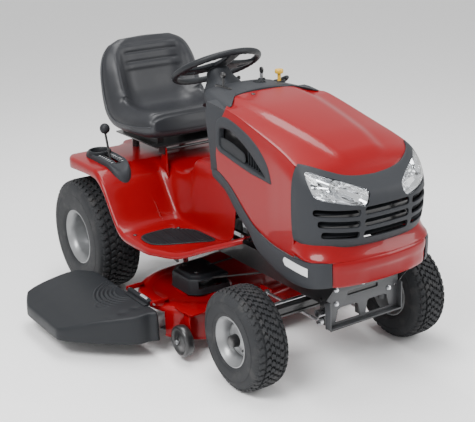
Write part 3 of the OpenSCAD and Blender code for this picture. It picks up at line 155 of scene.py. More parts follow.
# ---------- mesh pieces ----------
class Shape:
    """A mesh under construction, in tractor-frame mm."""

    def __init__(self):
        self.bm = bmesh.new()

    def grid(self, rows, close_u=False, close_v=False, mirror=False):
        """Quads between rows of points; mirror adds the same on the other side of the machine."""
        for side in (1, -1) if mirror else (1,):
            made = [[self.bm.verts.new((p[0] * side, p[1], p[2])) for p in r] for r in rows]
            if close_u:
                made.append(made[0])
            for r0, r1 in zip(made, made[1:]):
                a, b = (r0 + [r0[0]], r1 + [r1[0]]) if close_v else (r0, r1)
                for k in range(len(a) - 1):
                    quad = [a[k], a[k + 1], b[k + 1], b[k]]
                    self.bm.faces.new(quad if side == 1 else quad[::-1])
        return self

    def cap(self, ring, mirror=False):
        """A flat face over a ring of points."""
        for side in (1, -1) if mirror else (1,):
            verts = [self.bm.verts.new((p[0] * side, p[1], p[2])) for p in ring]
            self.bm.faces.new(verts if side == 1 else verts[::-1])
        return self

    def prism(self, outline, low, high, mirror=False):
        """A straight block between an outline of 3-D points moved by low and by high."""
        for side in (1, -1) if mirror else (1,):
            ends = []
            for move in (low, high):
                ends.append([self.bm.verts.new(((p[0] + move[0]) * side, p[1] + move[1], p[2] + move[2]))
                    for p in outline])
            self.bm.faces.new(ends[0][::-1])
            self.bm.faces.new(ends[1])
            n = len(outline)
            for k in range(n):
                m = (k + 1) % n
                self.bm.faces.new((ends[0][k], ends[0][m], ends[1][m], ends[1][k]))
        return self

    def box(self, a, b, mirror=False):
        """A block from corner a to corner b."""
        ring = [(a[0], a[1], a[2]), (b[0], a[1], a[2]), (b[0], b[1], a[2]), (a[0], b[1], a[2]),]
        return self.prism(ring, (0, 0, 0), (0, 0, b[2] - a[2]), mirror)

    def tube(self, path, radius, sides=16, mirror=False, closed=False):
        """A round bar along a path; radius is a number or one number for each point."""
        pts = [Vector(p) for p in path]
        radii = radius if hasattr(radius, "__len__") else [radius] * len(pts)
        rows, side_dir = [], None
        for i, p in enumerate(pts):
            if closed:
                ahead = pts[(i + 1) % len(pts)] - pts[i - 1]
            else:
                ahead = pts[min(i + 1, len(pts) - 1)] - pts[max(i - 1, 0)]
            ahead.normalize()
            if side_dir is None:
                side_dir = ahead.orthogonal().normalized()
            side_dir = (side_dir - ahead * side_dir.dot(ahead)).normalized()
            up = ahead.cross(side_dir)
            rows.append([p + radii[i] * (side_dir * math.cos(2 * math.pi * k / sides)
                + up * math.sin(2 * math.pi * k / sides)) for k in range(sides)])
        self.grid(rows, close_u=closed, close_v=True, mirror=mirror)
        if not closed:
            self.cap(rows[0][::-1], mirror)
            self.cap(rows[-1], mirror)
        return self

    def lathe(self, centre, axis, profile, steps=64, mirror=False):
        """A turned shape: profile is (distance along the axis, radius) rows."""
        c, ax = Vector(centre), Vector(axis).normalized()
        u = ax.orthogonal().normalized()
        v = ax.cross(u)
        rows = [[c + ax * a + r * (u * math.cos(2 * math.pi * k / steps)
            + v * math.sin(2 * math.pi * k / steps)) for k in range(steps)] for a, r in profile]
        self.grid(rows, close_v=True, mirror=mirror)
        for ring in (rows[0][::-1], rows[-1]):
            if profile[0][1] > 0.01:
                self.cap(ring, mirror)
        return self

    def open_up(self, x0, x1, y0, y1):
        """Takes away the faces whose middle is inside a rectangle of the plan."""
        middles = [(f, f.calc_center_median()) for f in self.bm.faces]
        gone = [f for f, c in middles if x0 < c.x < x1 and y0 < c.y < y1]
        bmesh.ops.delete(self.bm, geom=gone, context="FACES")
        return self

    def make(self, name, material, body, nodes=(), thick=0.0, bevel=0.0, sub=0,
             slot=None, angle=35.0, offset=-1.0, cut=None, weld=True, even=True):
        """The finished piece: welded, thickened, cut, rounded, shaded and set on its body."""
        if weld:
            bmesh.ops.remove_doubles(self.bm, verts=self.bm.verts, dist=0.02)
        bmesh.ops.recalc_face_normals(self.bm, faces=self.bm.faces)
        for v in self.bm.verts:
            v.co = place(v.co)
        mesh = bpy.data.meshes.new(name)
        self.bm.to_mesh(mesh)
        self.bm.free()
        o = bpy.data.objects.new(name, mesh)
        bpy.context.scene.collection.objects.link(o)
        if thick:
            m = o.modifiers.new("wall", "SOLIDIFY")
            m.thickness, m.offset = thick / 1000, offset
            m.use_even_offset = even
        if cut is not None:
            m = o.modifiers.new("opening", "BOOLEAN")
            m.operation, m.solver, m.object = "DIFFERENCE", "EXACT", cut
        if bevel:
            m = o.modifiers.new("edges", "BEVEL")
            m.width, m.segments = bevel / 1000, 3
            m.limit_method, m.angle_limit = "ANGLE", math.radians(32)
            m.harden_normals = False
        if sub:
            m = o.modifiers.new("round", "SUBSURF")
            m.levels = m.render_levels = sub
        bake(o)
        o.data.set_sharp_from_angle(angle=math.radians(angle))
        for p in o.data.polygons:
            p.use_smooth = True
        o.data.materials.append(material)
        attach(o, body)
        if nodes:
            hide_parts(*nodes)
        return o

    def cutter(self, name="cutter"):
        """A shape used only to cut others; it is removed at the end."""
        bmesh.ops.recalc_face_normals(self.bm, faces=self.bm.faces)
        for v in self.bm.verts:
            v.co = place(v.co)
        mesh = bpy.data.meshes.new(name)
        self.bm.to_mesh(mesh)
        self.bm.free()
        o = bpy.data.objects.new(name, mesh)
        bpy.context.scene.collection.objects.link(o)
        o.hide_render = True
        cutters.append(o)
        return o


cutters = []


def bake(o):
    """Turns an object's modifiers into plain mesh."""
    bpy.context.view_layer.update()
    graph = bpy.context.evaluated_depsgraph_get()
    mesh = bpy.data.meshes.new_from_object(o.evaluated_get(graph))
    old = o.data
    o.modifiers.clear()
    o.data = mesh
    bpy.data.meshes.remove(old)


# ---------- materials ----------
def noise(nodes, links, coords, scale, detail=3.0):
    """A noise texture in object space."""
    n = nodes.new("ShaderNodeTexNoise")
    n.inputs["Scale"].default_value = scale
    n.inputs["Detail"].default_value = detail
    links.new(coords.outputs["Object"], n.inputs["Vector"])
    return n


def finish_of(name, colour, rough, metal=0.0, coat=0.0, shade=0.12, blotch=14.0,
              grain=900.0, bump=0.05, rough_spread=0.08, dust=None, depth=0.0004, shine=0.5):
    """A procedural finish: colour that varies, roughness that varies, and a fine surface grain."""
    m = bpy.data.materials.new(name)
    m.use_nodes = True
    nodes, links = m.node_tree.nodes, m.node_tree.links
    shader = nodes["Principled BSDF"]
    coords = nodes.new("ShaderNodeTexCoord")
    wide = noise(nodes, links, coords, blotch)
    fine = noise(nodes, links, coords, grain, 2.0)
    mix = nodes.new("ShaderNodeMix")
    mix.data_type = "RGBA"
    mix.inputs["A"].default_value = (*[c * (1 - shade) for c in colour], 1)
    mix.inputs["B"].default_value = (*[min(1, c * (1 + shade)) for c in colour], 1)
    links.new(wide.outputs["Fac"], mix.inputs["Factor"])
    out = mix.outputs["Result"]
    if dust:
        speck = noise(nodes, links, coords, dust[1], 6.0)
        ramp = nodes.new("ShaderNodeMapRange")
        ramp.inputs["From Min"].default_value = 0.52
        ramp.inputs["From Max"].default_value = 0.75
        ramp.inputs["To Max"].default_value = dust[2]
        links.new(speck.outputs["Fac"], ramp.inputs["Value"])
        over = nodes.new("ShaderNodeMix")
        over.data_type = "RGBA"
        over.inputs["B"].default_value = (*dust[0], 1)
        links.new(ramp.outputs["Result"], over.inputs["Factor"])
        links.new(out, over.inputs["A"])
        out = over.outputs["Result"]
    links.new(out, shader.inputs["Base Color"])
    spread = nodes.new("ShaderNodeMapRange")
    spread.inputs["To Min"].default_value = max(0.02, rough - rough_spread)
    spread.inputs["To Max"].default_value = min(1.0, rough + rough_spread)
    links.new(wide.outputs["Fac"], spread.inputs["Value"])
    links.new(spread.outputs["Result"], shader.inputs["Roughness"])
    shader.inputs["Metallic"].default_value = metal
    shader.inputs["Specular IOR Level"].default_value = shine
    shader.inputs["Coat Weight"].default_value = coat
    shader.inputs["Coat Roughness"].default_value = 0.04
    if bump:
        b = nodes.new("ShaderNodeBump")
        b.inputs["Strength"].default_value = bump
        b.inputs["Distance"].default_value = depth
        links.new(fine.outputs["Fac"], b.inputs["Height"])
        links.new(b.outputs["Normal"], shader.inputs["Normal"])
    return m


RED = finish_of("red_gloss_paint", (0.20, 0.0, 0.0022), 0.30, coat=0.22, shade=0.03, shine=0.16, blotch=5,
    grain=900, bump=0.004, rough_spread=0.02)
GREY = finish_of("grey_moulded_plastic", (0.024, 0.026, 0.030), 0.55, shade=0.08, shine=0.22, grain=2600,
    bump=0.22, rough_spread=0.06)
DARK = finish_of("dark_moulded_plastic", (0.012, 0.0135, 0.016), 0.48, shade=0.12, shine=0.25, grain=2200,
    bump=0.25)
BLACK = finish_of("black_enamel_steel", (0.012, 0.012, 0.013), 0.32, coat=0.25, shade=0.2, grain=700,
    bump=0.05, dust=((0.05, 0.048, 0.045), 60, 0.35))
STEEL = finish_of("zinc_plated_steel", (0.56, 0.57, 0.59), 0.30, metal=1.0, shade=0.12, blotch=40,
    grain=1500, bump=0.05, rough_spread=0.12)
PLATE = finish_of("grey_painted_plate", (0.05, 0.052, 0.056), 0.42, shade=0.1, grain=900, bump=0.06)
CAST = finish_of("cast_aluminium", (0.30, 0.31, 0.32), 0.48, metal=0.85, shade=0.18, blotch=60, grain=500,
    bump=0.35)
RIM = finish_of("silver_rim_paint", (0.24, 0.245, 0.25), 0.38, metal=0.6, coat=0.3, shade=0.06, blotch=25,
    grain=900, bump=0.03)
TYRE = finish_of("tyre_rubber", (0.018, 0.019, 0.021), 0.66, shade=0.22, shine=0.25, blotch=30, grain=800,
    bump=0.25, dust=((0.10, 0.095, 0.09), 25, 0.25))
BELT = finish_of("belt_rubber", (0.014, 0.014, 0.014), 0.7, shade=0.2, grain=600, bump=0.3)
TANK = finish_of("milky_tank_plastic", (0.62, 0.61, 0.55), 0.45, shade=0.05, grain=700, bump=0.1)
CHROME = finish_of("reflector_chrome", (0.86, 0.87, 0.89), 0.08, metal=1.0, shade=0.06, blotch=70,
    grain=300, bump=0.12, rough_spread=0.05)
VINYL = finish_of("seat_vinyl", (0.015, 0.016, 0.019), 0.42, shade=0.10, shine=0.35, blotch=18, grain=520,
    bump=0.32, rough_spread=0.08, depth=0.0006)
SHELL = finish_of("seat_shell_plastic", (0.022, 0.024, 0.028), 0.45, shade=0.1, grain=1500, bump=0.2)
YELLOW = finish_of("yellow_knob_plastic", (0.62, 0.36, 0.02), 0.40, shade=0.06, grain=1200, bump=0.1)
BLADE = finish_of("ground_blade_steel", (0.22, 0.225, 0.235), 0.38, metal=0.9, shade=0.2, blotch=50,
    grain=900, bump=0.15)
LABEL = finish_of("pale_label_film", (0.62, 0.63, 0.64), 0.35, shade=0.05, grain=900, bump=0.03)


def glass(name, tint, rough):
    """Clear moulded lens plastic."""
    m = finish_of(name, tint, rough, shade=0.02, bump=0.04, grain=260)
    shader = m.node_tree.nodes["Principled BSDF"]
    shader.inputs["Transmission Weight"].default_value = 1.0
    shader.inputs["IOR"].default_value = 1.45
    return m


LENS = glass("clear_lens_plastic", (0.97, 0.98, 0.99), 0.04)


# ---------- hood surface ----------
HOOD_REAR = -204.5
CROWN = [(-960, 760), (-860, 800), (FY - 215, 845), (FY - 150, 872), (FY - 40, 905), (-400, 953),
    (-205, 975)]
CREASE_DROP = [(-748, 33), (-622, 31), (-502, 26), (-377, 18), (-279, 10), (-205, 6)]
CREASE_X = [(-748, 246), (-620, 236), (-400, 229), (-205, 228)]
SIDE_X = [(-750, 258), (-660, 247), (-560, 238), (-205, 236)]
LOW_EDGE = [(-940, 530), (-854, 526), (-728, 516), (-588, 518), (-484, 549), (-420, 591), (-332, 663),
    (-251, 704), (-205, 704)]
GRILLE_EDGE_Y = FY - 150


def catmull_value(table, t):
    """Smooth value at t through (t, value) rows."""
    rows = sorted(table)
    t = min(max(t, rows[0][0]), rows[-1][0])
    i = 0
    while i < len(rows) - 2 and rows[i + 1][0] < t:
        i += 1
    (t1, v1), (t2, v2) = rows[i], rows[i + 1]
    t0, v0 = rows[i - 1] if i > 0 else (2 * t1 - t2, 2 * v1 - v2)
    t3, v3 = rows[i + 2] if i + 2 < len(rows) else (2 * t2 - t1, 2 * v2 - v1)
    f = (t - t1) / (t2 - t1)
    m1, m2 = (v2 - v0) / (t2 - t0) * (t2 - t1), (v3 - v1) / (t3 - t1) * (t2 - t1)
    f2, f3 = f * f, f * f * f
    return (2 * f3 - 3 * f2 + 1) * v1 + (f3 - 2 * f2 + f) * m1 + (3 * f2 - 2 * f3) * v2 + (f3 - f2) * m2


def hood_top(x, y):
    """Height of the hood's top at a place: a soft arch with a raised bulge along the middle."""
    rise = 10
    drop = catmull_value(CREASE_DROP, y)
    edge = catmull_value(CREASE_X, y)
    g = min(1.0, abs(x) / edge)
    half = catmull_value([(-830, 62), (-790, 92), (-600, 122), (-204, 158)], y)
    bulge = 1 - smooth(half - 26, half + 26, abs(x))
    bulge *= smooth(-832, -770, y)
    return catmull_value(CROWN, y) - rise - max(drop - rise, 4) * g ** 2.4 + rise * bulge


def side_x(y, z):
    """Half width of the hood's side at a place."""
    full = catmull_value(SIDE_X, y)
    top = catmull_value(CREASE_X, y)
    zc = hood_top(top, y)
    return top + (full - top) * smooth(0, 60, zc - z)


def hood_rear_y(z):
    """The hood side's rear edge at a height."""
    return catmull_value([(655, -232), (720, -228), (751, -225), (879, -256), (935, -282), (965, -300)], z)


def front_edge(g):
    """Front edge of the hood's top, from the centre (0) to the crease (1)."""
    return catmull_value([(0, -862), (0.35, -858), (0.7, -832), (0.9, -796), (1.0, GRILLE_EDGE_Y)], g)


def hood_rows(count, y_rear_gap=0.0, lift=0.0):
    """Rows of points over half of the hood from the rear to the front edge, centre to lower edge."""
    rows = []
    tops, sides = 22, 26
    for i in range(count + 1):
        f = i / count
        row = []
        for j in range(tops + 1):
            g = j / tops
            rear = HOOD_REAR - 96 * g ** 3
            y = rear + y_rear_gap + (front_edge(g) - rear) * f
            x = catmull_value(CREASE_X, y) * g
            row.append(Vector((-x, y, hood_top(x, y) + lift)))
        crease = row[-1]
        for j in range(1, sides + 1):
            h = j / sides
            y0 = crease.y
            low = catmull_value(LOW_EDGE, y0)
            z = crease.z + (low - crease.z) * h
            # the rear edge leans with height, and the front edge stands upright
            y = y0 + (hood_rear_y(z) - hood_rear_y(crease.z)) * (1 - f)
            low = catmull_value(LOW_EDGE, y)
            z = crease.z + (low - crease.z) * h
            row.append(Vector((-side_x(y, z), y, z)))
        rows.append(row)
    return rows


VENT_LOOP = [(-250, 898), (-290, 921), (-350, 915), (-430, 892), (-481, 872), (-532, 842), (-578, 795),
    (-600, 741), (-590, 736), (-532, 741), (-474, 745), (-395, 758), (-313, 774), (-247, 792), (-242, 840)]
VENT_IN = [(-266, 868), (-292, 878), (-345, 874), (-400, 852), (-457, 822), (-508, 787), (-556, 754),
    (-548, 752), (-474, 762), (-395, 775), (-313, 791), (-264, 802), (-261, 835)]


def build_hood():
    """Hood panel with its vent openings, and the grommet at its rear."""
    cut = Shape()
    loop = even([(-200, y, z) for y, z in VENT_LOOP], 60, closed=True)
    middle = Vector((-200, -410, 830))
    shrunk = [middle + (p - middle) * 0.965 for p in loop]
    cut.prism(shrunk, (-80, 0, 0), (20, 0, 0), mirror=True)
    hood = Shape().grid(hood_rows(56), mirror=True)
    hood.make("hood_panel", RED, "hood", ["hood_shell"], thick=3, bevel=1.6, slot="red_paint",
        cut=cut.cutter(), angle=28)
    # small round grommet at the rear of the top
    Shape().lathe((-60, -236, hood_top(60, -236) - 2), (0.05, -0.1, 1),
        [(0, 0.001), (0, 9), (3.2, 9), (4.2, 7.6), (3.4, 5), (1.5, 0.001)], 24).make("hood_grommet", BLACK,
        "hood", slot="black_steel")


def build_nose():
    """The red band that runs on from the hood sides under the grille, with its ledge and the bumper."""
    outer = catmull([(-257, -738), (-260, -775), (-258, -815), (-240, -852), (-205, -886), (-160, -905),
        (-100, -917), (0, -922)], 48)
    rows = []
    for p in outer:
        centre = Vector((0, -640))
        out = (Vector((p.x, p.y)) - centre).normalized()
        side = smooth(760, 860, -p.y)
        row = []
        for z, push in ((585, -14), (572, -7 - 4 * side), (560, 0 - 6 * side), (548, 2 - 2 * side),
                (540, 3 + 4 * side), (534, 3 + 9 * side), (529, 2 + 12 * side), (524, -1 + 12 * side)):
            row.append((p.x + out.x * push, p.y + out.y * push, z))
        rows.append(row)
    Shape().grid(rows, mirror=True).make("nose_band", RED, "hood", thick=3, slot="red_paint", angle=50)
    # bumper: stepped face with a crease and a folded lower edge
    plan = catmull([(-207, FE + 44), (-190, FE + 32), (-160, FE + 21), (-118, FE + 11), (-60, FE + 4),
        (0, FE + 1)], 30)
    rows = []
    for p in plan:
        out = Vector((p.x * 0.9, p.y + 560)).normalized()
        middle = 1 - smooth(70, 130, abs(p.x))
        row = []
        for z, push in ((536, -34), (534, -16), (530, -7), (524, -2), (516, 0), (500, 0), (494, -1),
                (486, -3 - 4 * middle), (476, -5 - 5 * middle), (462, -5 - 6 * middle),
                (446, -6 - 4 * middle), (438, -8), (434.5, -12), (434.5, -22)):
            row.append((p.x + out.x * push, p.y + out.y * push, z))
        rows.append(row)
    Shape().grid(rows, mirror=True).make("bumper_skin", RED, "hood", ["front_bumper"], thick=3,
        slot="red_paint", angle=40)
    # end returns of the bumper tuck behind the grey trim
    s = Shape()
    end = rows[0]
    back = [(q[0] + 2, q[1] + 30, q[2]) for q in end]
    s.grid([end, back], mirror=True)
    s.make("bumper_ends", RED, "hood", thick=2.5, slot="red_paint")


def build_vents():
    """Side vent rings, the panels behind them and their fins."""
    rows = []
    outer = even([(0, y, z) for y, z in VENT_LOOP], 96, closed=True)
    inner = even([(0, y, z) for y, z in VENT_IN], 96, closed=True)
    for a, b in zip(outer, inner):
        row = []
        for f, lift in ((-0.02, -3), (0.0, 0.6), (0.10, 2.8), (0.3, 3.6), (0.7, 3.0), (0.9, 1.6),
                (1.0, -2.5), (1.02, -22)):
            p = a.lerp(b, f)
            row.append((-side_x(p.y, p.z) - lift, p.y, p.z))
        rows.append(row)
    Shape().grid(rows, close_u=True, mirror=True).make("vent_rings", GREY, "hood", ["side_vents"],
        slot="gray_plastic", angle=50)
    # panel behind the opening, with a deep dark slot along its upper and front edge
    panel = even([(0, -262, 806), (0, -262, 838), (0, -330, 835), (0, -395, 818), (0, -420, 808),
        (0, -428, 790), (0, -420, 772), (0, -395, 768), (0, -313, 785)], 60, closed=True)
    rows = [[(-side_x(p.y, p.z) + 6, p.y, p.z) for p in panel]]
    centre = sum(panel, Vector()) / len(panel)
    for f, depth in ((0.97, 4.4), (0.9, 4), (0.4, 4)):
        rows.append([(-side_x(p.y, p.z) + depth, centre.y + (p.y - centre.y) * f,
            centre.z + (p.z - centre.z) * f) for p in panel])
    s = Shape().grid(rows, close_v=True, mirror=True)
    s.cap([(p[0], p[1], p[2]) for p in rows[-1]], mirror=True)
    s.make("vent_panels", DARK, "hood", thick=2, slot="dark_plastic", angle=40)
    # black sheets inside the hood behind the vent openings: painted shade standing in for the dark inside of
    # the hood
    back = Shape().grid([[(-208, y, 735 + (hood_top(208, y) - 749) * f) for f in (0, 0.35, 0.7, 1)]
        for y in (-240, -330, -420, -510, -600)], mirror=True)
    back.make("vent_painted_shade_sheets", BLACK, "hood", thick=1.5, slot="dark_plastic")
    fins = Shape()
    for i in range(9):
        y = -440 - i * 16
        fins.box((-226, y, 762 - i * 1.5), (-209, y + 3, 860 - i * 9), mirror=True)
    fins.make("vent_fins", DARK, "hood", slot="dark_plastic", bevel=0.6)


TRIM_TOP = [(-205, 703), (-251, 703), (-332, 662), (-420, 590), (-484, 548), (-588, 517), (-728, 515),
    (-800, 520), (-853, 525), (-905, 529)]
TRIM_LOW = [(-205, 672), (-251, 654), (-295, 634), (-372, 563), (-449, 512), (-480, 474), (-524, 448),
    (-626, 422), (-724, 416), (-800, 420), (-853, 428), (-905, 437)]


def build_trims():
    """Grey lower trims: they sweep down from the dash and wrap round to the bumper."""
    plan = catmull([(-238, -206), (-240, -330), (-242, -460), (-245, -560), (-254, -650), (-262, -720),
        (-264, -800), (-258, -848), (-238, -880), (-209, -899)], 84)
    rows = []
    for p in plan:
        top, low = catmull_value(TRIM_TOP, p.y), catmull_value(TRIM_LOW, p.y)
        out = Vector((p.x, (p.y + 700) if p.y < -700 else 0)).normalized()
        tall = top - low
        row = []
        for f, push in ((0.0, -5), (0.03, -0.5), (0.10, 1.2), (0.3, 1.6), (0.55, 1.2), (0.8, 0), (0.93, -2),
                (0.985, -5), (1.0, -10)):
            row.append((p.x + out.x * push, p.y + out.y * push, top - tall * f))
        rows.append(row)
    s = Shape().grid(rows, mirror=True)
    s.make("lower_trim_skins", GREY, "hood", ["lower_trims"], thick=3, slot="gray_plastic", angle=50,
        bevel=0.8)
    # blank pale label where the machine carries its size plate
    label = []
    for y in [-690 - i * 9 for i in range(17)]:
        p = min(plan, key=lambda q: abs(q.y - y))
        half = 15 if y < -700 else 15 * (1 - (y + 700) / 12)
        label.append([(p.x - 2.2, y, z) for z in (489 - (y + 690) * -0.03 + d
            for d in (-half, -half / 2, half / 2, half))])
    Shape().grid(label, mirror=True).make("trim_labels", LABEL, "hood", thick=0.6, slot="silver_steel")


# ---------- grille and lamps ----------
def grille_net():
    """Control rows from the bottom of the grille to its top edge, each from the centre to the rear edge."""
    return [[(0, -902, 560), (-70, -899, 561), (-130, -889, 562), (-186, -862, 563), (-226, -824, 565), (-244,
        -786, 568), (-250, -752, 574)], [(0, -922, 574), (-74, -918, 575), (-138, -906, 576), (-196, -876,
        577), (-238, -834, 580), (-256, -790, 583), (-261, -750, 588)], [(0, -934, 616), (-78, -930, 617),
        (-144, -917, 619), (-204, -884, 622), (-246, -838, 626), (-263, -790, 630), (-266, -750, 634)], [(0,
        -939, 665), (-80, -935, 666), (-147, -921, 669), (-207, -887, 674), (-248, -840, 679), (-265, -790,
        683), (-267, -750, 686)], [(0, -940, 712), (-80, -936, 714), (-146, -921, 718), (-206, -886, 724),
        (-247, -839, 731), (-264, -790, 737), (-266, -750, 741)], [(0, -930, 752), (-78, -924, 755), (-142,
        -908, 763), (-200, -874, 772), (-240, -830, 782), (-257, -788, 789), (-261, -750, 792)], [(0, -902,
        774), (-74, -896, 779), (-134, -880, 789), (-190, -848, 806), (-228, -808, 819), (-245, -778, 825),
        (-250, -751, 827)], [(0, -868, 793), (-66, -864, 797), (-124, -853, 807), (-176, -827, 825), (-210,
        -795, 838), (-226, -772, 843), (-236, -751, 845)], [(0, -858, 788), (-64, -854, 792), (-122, -843,
        801), (-172, -818, 819), (-206, -788, 832), (-221, -767, 837), (-231, -749, 839)],]


LAMP = [(-241, 820), (-245, 788), (-240, 752), (-222, 740), (-150, 723), (-92, 713), (-76, 730), (-72, 758),
    (-110, 780), (-150, 796), (-200, 814), (-230, 826)]


def skin_y(x, z):
    """Where the grille's outer face is at a place across and up the nose."""
    table = []
    for row in grille_net()[1:8]:
        table.append((catmull_value([(-p[0], p[2]) for p in row], x),
            catmull_value([(-p[0], p[1]) for p in row], x)))
    return catmull_value(table, z)


def slot_outline(x0, x1, z0, z1, skew=0.0):
    """A rounded slot outline in the cross plane, with its rear end raised by skew."""
    r = (z1 - z0) * 0.35
    pts = []
    for cx, cz, a0 in ((x1 - r, z1 - r, 0), (x0 + r, z1 - r, 90), (x0 + r, z0 + r, 180),
            (x1 - r, z0 + r, 270)):
        for k in range(4):
            a = math.radians(a0 + k * 30)
            x = cx + r * math.cos(a)
            pts.append((x, -1000, cz + r * math.sin(a) + skew * (x - x1) / (x0 - x1)))
    return pts


def build_grille():
    """Grille frame with its slots and lamp openings, the louvres, and a black sheet behind them as painted
    shade.
    """
    cut = Shape()
    for i in range(3):
        cut.prism(slot_outline(-96, 96, 598 + i * 42, 626 + i * 42), (0, 0, 0), (0, 96, 0))
        cut.prism(slot_outline(-226 - i * 10, -112, 602 + i * 39, 627 + i * 39, 5), (0, 0, 0), (0, 200, 0),
            mirror=True)
    lamp = even([(x, -1000, z) for x, z in LAMP], 48, closed=True)
    cut.prism(lamp, (0, 0, 0), (0, 240, 0), mirror=True)
    surface = net(grille_net(), 44, 56)
    s = Shape().grid(surface, mirror=True)
    s.make("grille_frame", GREY, "hood", ["grille"], thick=9, bevel=2.4, slot="gray_plastic",
        cut=cut.cutter(), angle=40)
    # horizontal louvre bars set back inside the slots, and a black sheet behind them as painted shade for the
    # dark inside of the hood
    bars = Shape()
    for i in range(3):
        for k, (x0, x1) in enumerate(((-100, 100), (-250, -108), (108, 250))):
            z = 608 + i * (42 if k == 0 else 39) + (0 if k == 0 else 3)
            rows = []
            for j in range(13):
                x = x0 + (x1 - x0) * j / 12
                y = grille_y(abs(x)) + 16
                rows.append([(x, y, z - 2), (x, y - 3, z), (x, y, z + 2), (x, y + 26, z + 9),
                    (x, y + 26, z + 5)])
            bars.grid(rows, close_v=True)
    bars.make("grille_louvres", DARK, "hood", slot="dark_plastic", angle=40)
    back = Shape()
    back.grid([[(x, grille_y(abs(x)) + 46, z) for z in (590, 640, 700, 716)] for x in range(-236, 237, 24)])
    back.make("grille_painted_shade_sheet", BLACK, "hood", thick=1.5, slot="dark_plastic")


def grille_y(x):
    """The grille's front line at a place across the nose."""
    return catmull_value([(0, -938), (80, -934), (147, -920), (206, -886), (246, -840)], min(x, 246))


def build_lamps():
    """Lamp lenses, stepped chrome bowls, bulbs and bulb caps."""
    lamp = even([(x, 0, z) for x, z in LAMP], 64, closed=True)
    centre = Vector((-158, 0, 775))

    def face_y(x, z):
        # the lens follows the grille's face, a little behind it
        return skin_y(-x, z) + 2

    def ring(f, depth):
        out = []
        for p in lamp:
            q = centre + (p - centre) * f
            out.append((q.x, face_y(q.x, q.z) + depth, q.z))
        return out

    lens = Shape()
    rows = [ring(f, d) for f, d in ((1.01, 12), (1.01, 5), (0.99, 2.6), (0.9, 0.6), (0.7, -1), (0.45, -2),
        (0.2, -2.4))]
    lens.grid(rows, close_v=True, mirror=True)
    lens.cap(rows[-1], mirror=True)
    lens.make("lamp_lenses", LENS, "hood", ["headlight_lenses"], thick=2.5, slot="lens_clear", angle=60)
    # chrome bowl: a stepped, faceted well with a round reflector round the bulb
    bowl = Shape()
    rows = [ring(0.99, 9), ring(0.93, 20), ring(0.86, 34), ring(0.80, 37)]
    bowl.grid(rows, close_v=True, mirror=True)
    well = []
    bulb = Vector((-160, 0, 772))
    for f, depth in ((1.0, 37), (0.8, 44), (0.6, 52)):
        well.append([])
        for p in lamp:
            q = centre + (p - centre) * 0.80
            q = bulb + (q - bulb) * f
            well[-1].append((q.x, face_y(q.x, q.z) + depth + (6 if int(lamp.index(p) / 4) % 2 and f < 1
                else 0), q.z))
    bowl.grid(well, close_v=True, mirror=True)
    circle = []
    for k in range(64):
        near = well[-1][k]
        a = math.atan2(near[2] - bulb.z, near[0] - bulb.x)
        circle.append((bulb.x + 24 * math.cos(a), face_y(bulb.x, bulb.z) + 44, bulb.z + 24 * math.sin(a)))
    deep = [(bulb.x + (p[0] - bulb.x) * 0.4, p[1] + 22, bulb.z + (p[2] - bulb.z) * 0.4) for p in circle]
    bowl.grid([well[-1], circle, deep], close_v=True, mirror=True)
    bowl.cap(deep, mirror=True)
    bowl.make("lamp_bowls", CHROME, "hood", ["headlight_reflectors"], slot="reflector_chrome", angle=12)
    y = face_y(bulb.x, bulb.z)
    Shape().lathe((bulb.x, y + 64, bulb.z), (0, -1, 0), [(0, 9), (6, 9), (7, 7), (9, 6), (26, 6), (31, 5),
        (34, 3), (35, 0.001)], 24, mirror=True).make("lamp_bulbs",
        glass("bulb_glass", (0.95, 0.95, 0.93), 0.05), "hood", slot="lens_clear")
    caps = Shape().lathe((bulb.x, y + 34, bulb.z), (0, -1, 0), [(0, 8.5), (2, 8.5), (4, 7), (5, 0.001)], 24,
        mirror=True)
    for a in (30, 150, 270):
        c, sn = math.cos(math.radians(a)), math.sin(math.radians(a))
        caps.tube([(bulb.x + 8 * c, y + 36, bulb.z + 8 * sn), (bulb.x + 24 * c, y + 46, bulb.z + 24 * sn)],
            1.6, 8, mirror=True)
    caps.make("lamp_bulb_caps", CHROME, "hood", slot="reflector_chrome")


# ---------- fender, footrests and tunnel ----------
FOOT_LINE = [(FY + 225, 469), (-240, 415), (-160, 381), (-110, 371), (-40, 370), (150, 370), (200, 377),
    (240, 402), (290, 468), (344, 545), (394, 588), (440, 600), (700, 600), (740, 588), (762, 562),
    (769, 541)]
OUTER_LINE = [(FY + 225, 222), (-336, 258), (-270, 300), (-199, 345), (-110, 392), (-60, 414), (-20, 434),
    (30, 439), (640, 439), (690, 428), (730, 396), (758, 350), (769, 300)]
LIP_LINE = [(FY + 225, 22), (-130, 24), (200, 24), (290, 28), (400, 34), (600, 44), (700, 50), (755, 70),
    (769, 70)]
TUNNEL_TOP = [(-205, 655), (90, 655), (120, 642), (150, 606), (190, 584), (250, 573), (344, 588),
    (440, 600)]


def fender_row(y):
    """Half of the fender's section at a place along the machine, from the centre to the lip's lower edge."""
    foot = catmull_value(FOOT_LINE, y)
    outer = catmull_value(OUTER_LINE, y)
    lip = lerp_table(LIP_LINE, y)
    top = catmull_value(TUNNEL_TOP, y) if y > -205 else TUNNEL_Z
    top = max(foot, top)
    wall = top - foot
    rise = min(1.0, wall / 60)
    half = 128 - 8 * rise
    pts = [(0, top + 2 * rise), (half - 30, top + 1.2 * rise), (half - 12, top), (half - 3, top - 4 * rise),
        (half + 2, top - 14 * rise)]
    for f in (0.25, 0.5, 0.75, 0.9):
        pts.append((half + 2 + (150 - half) * f, top - 14 * rise - (wall - 34 * rise) * f))
    pts += [(154, foot + 18 * rise), (158, foot + 9 * rise), (167, foot + 2.5 * rise), (182, foot),
        (200, foot)]
    span = outer - 16 - 200
    pts += [(200 + span * f, foot) for f in (0.25, 0.5, 0.75, 1.0)]
    pts += [(outer - 9, foot - 1.5), (outer - 3, foot - 6), (outer, foot - 14), (outer, foot - lip + 6),
        (outer - 1, foot - lip), (outer - 5, foot - lip - 1)]
    return [Vector((-x, y, z)) for x, z in pts]


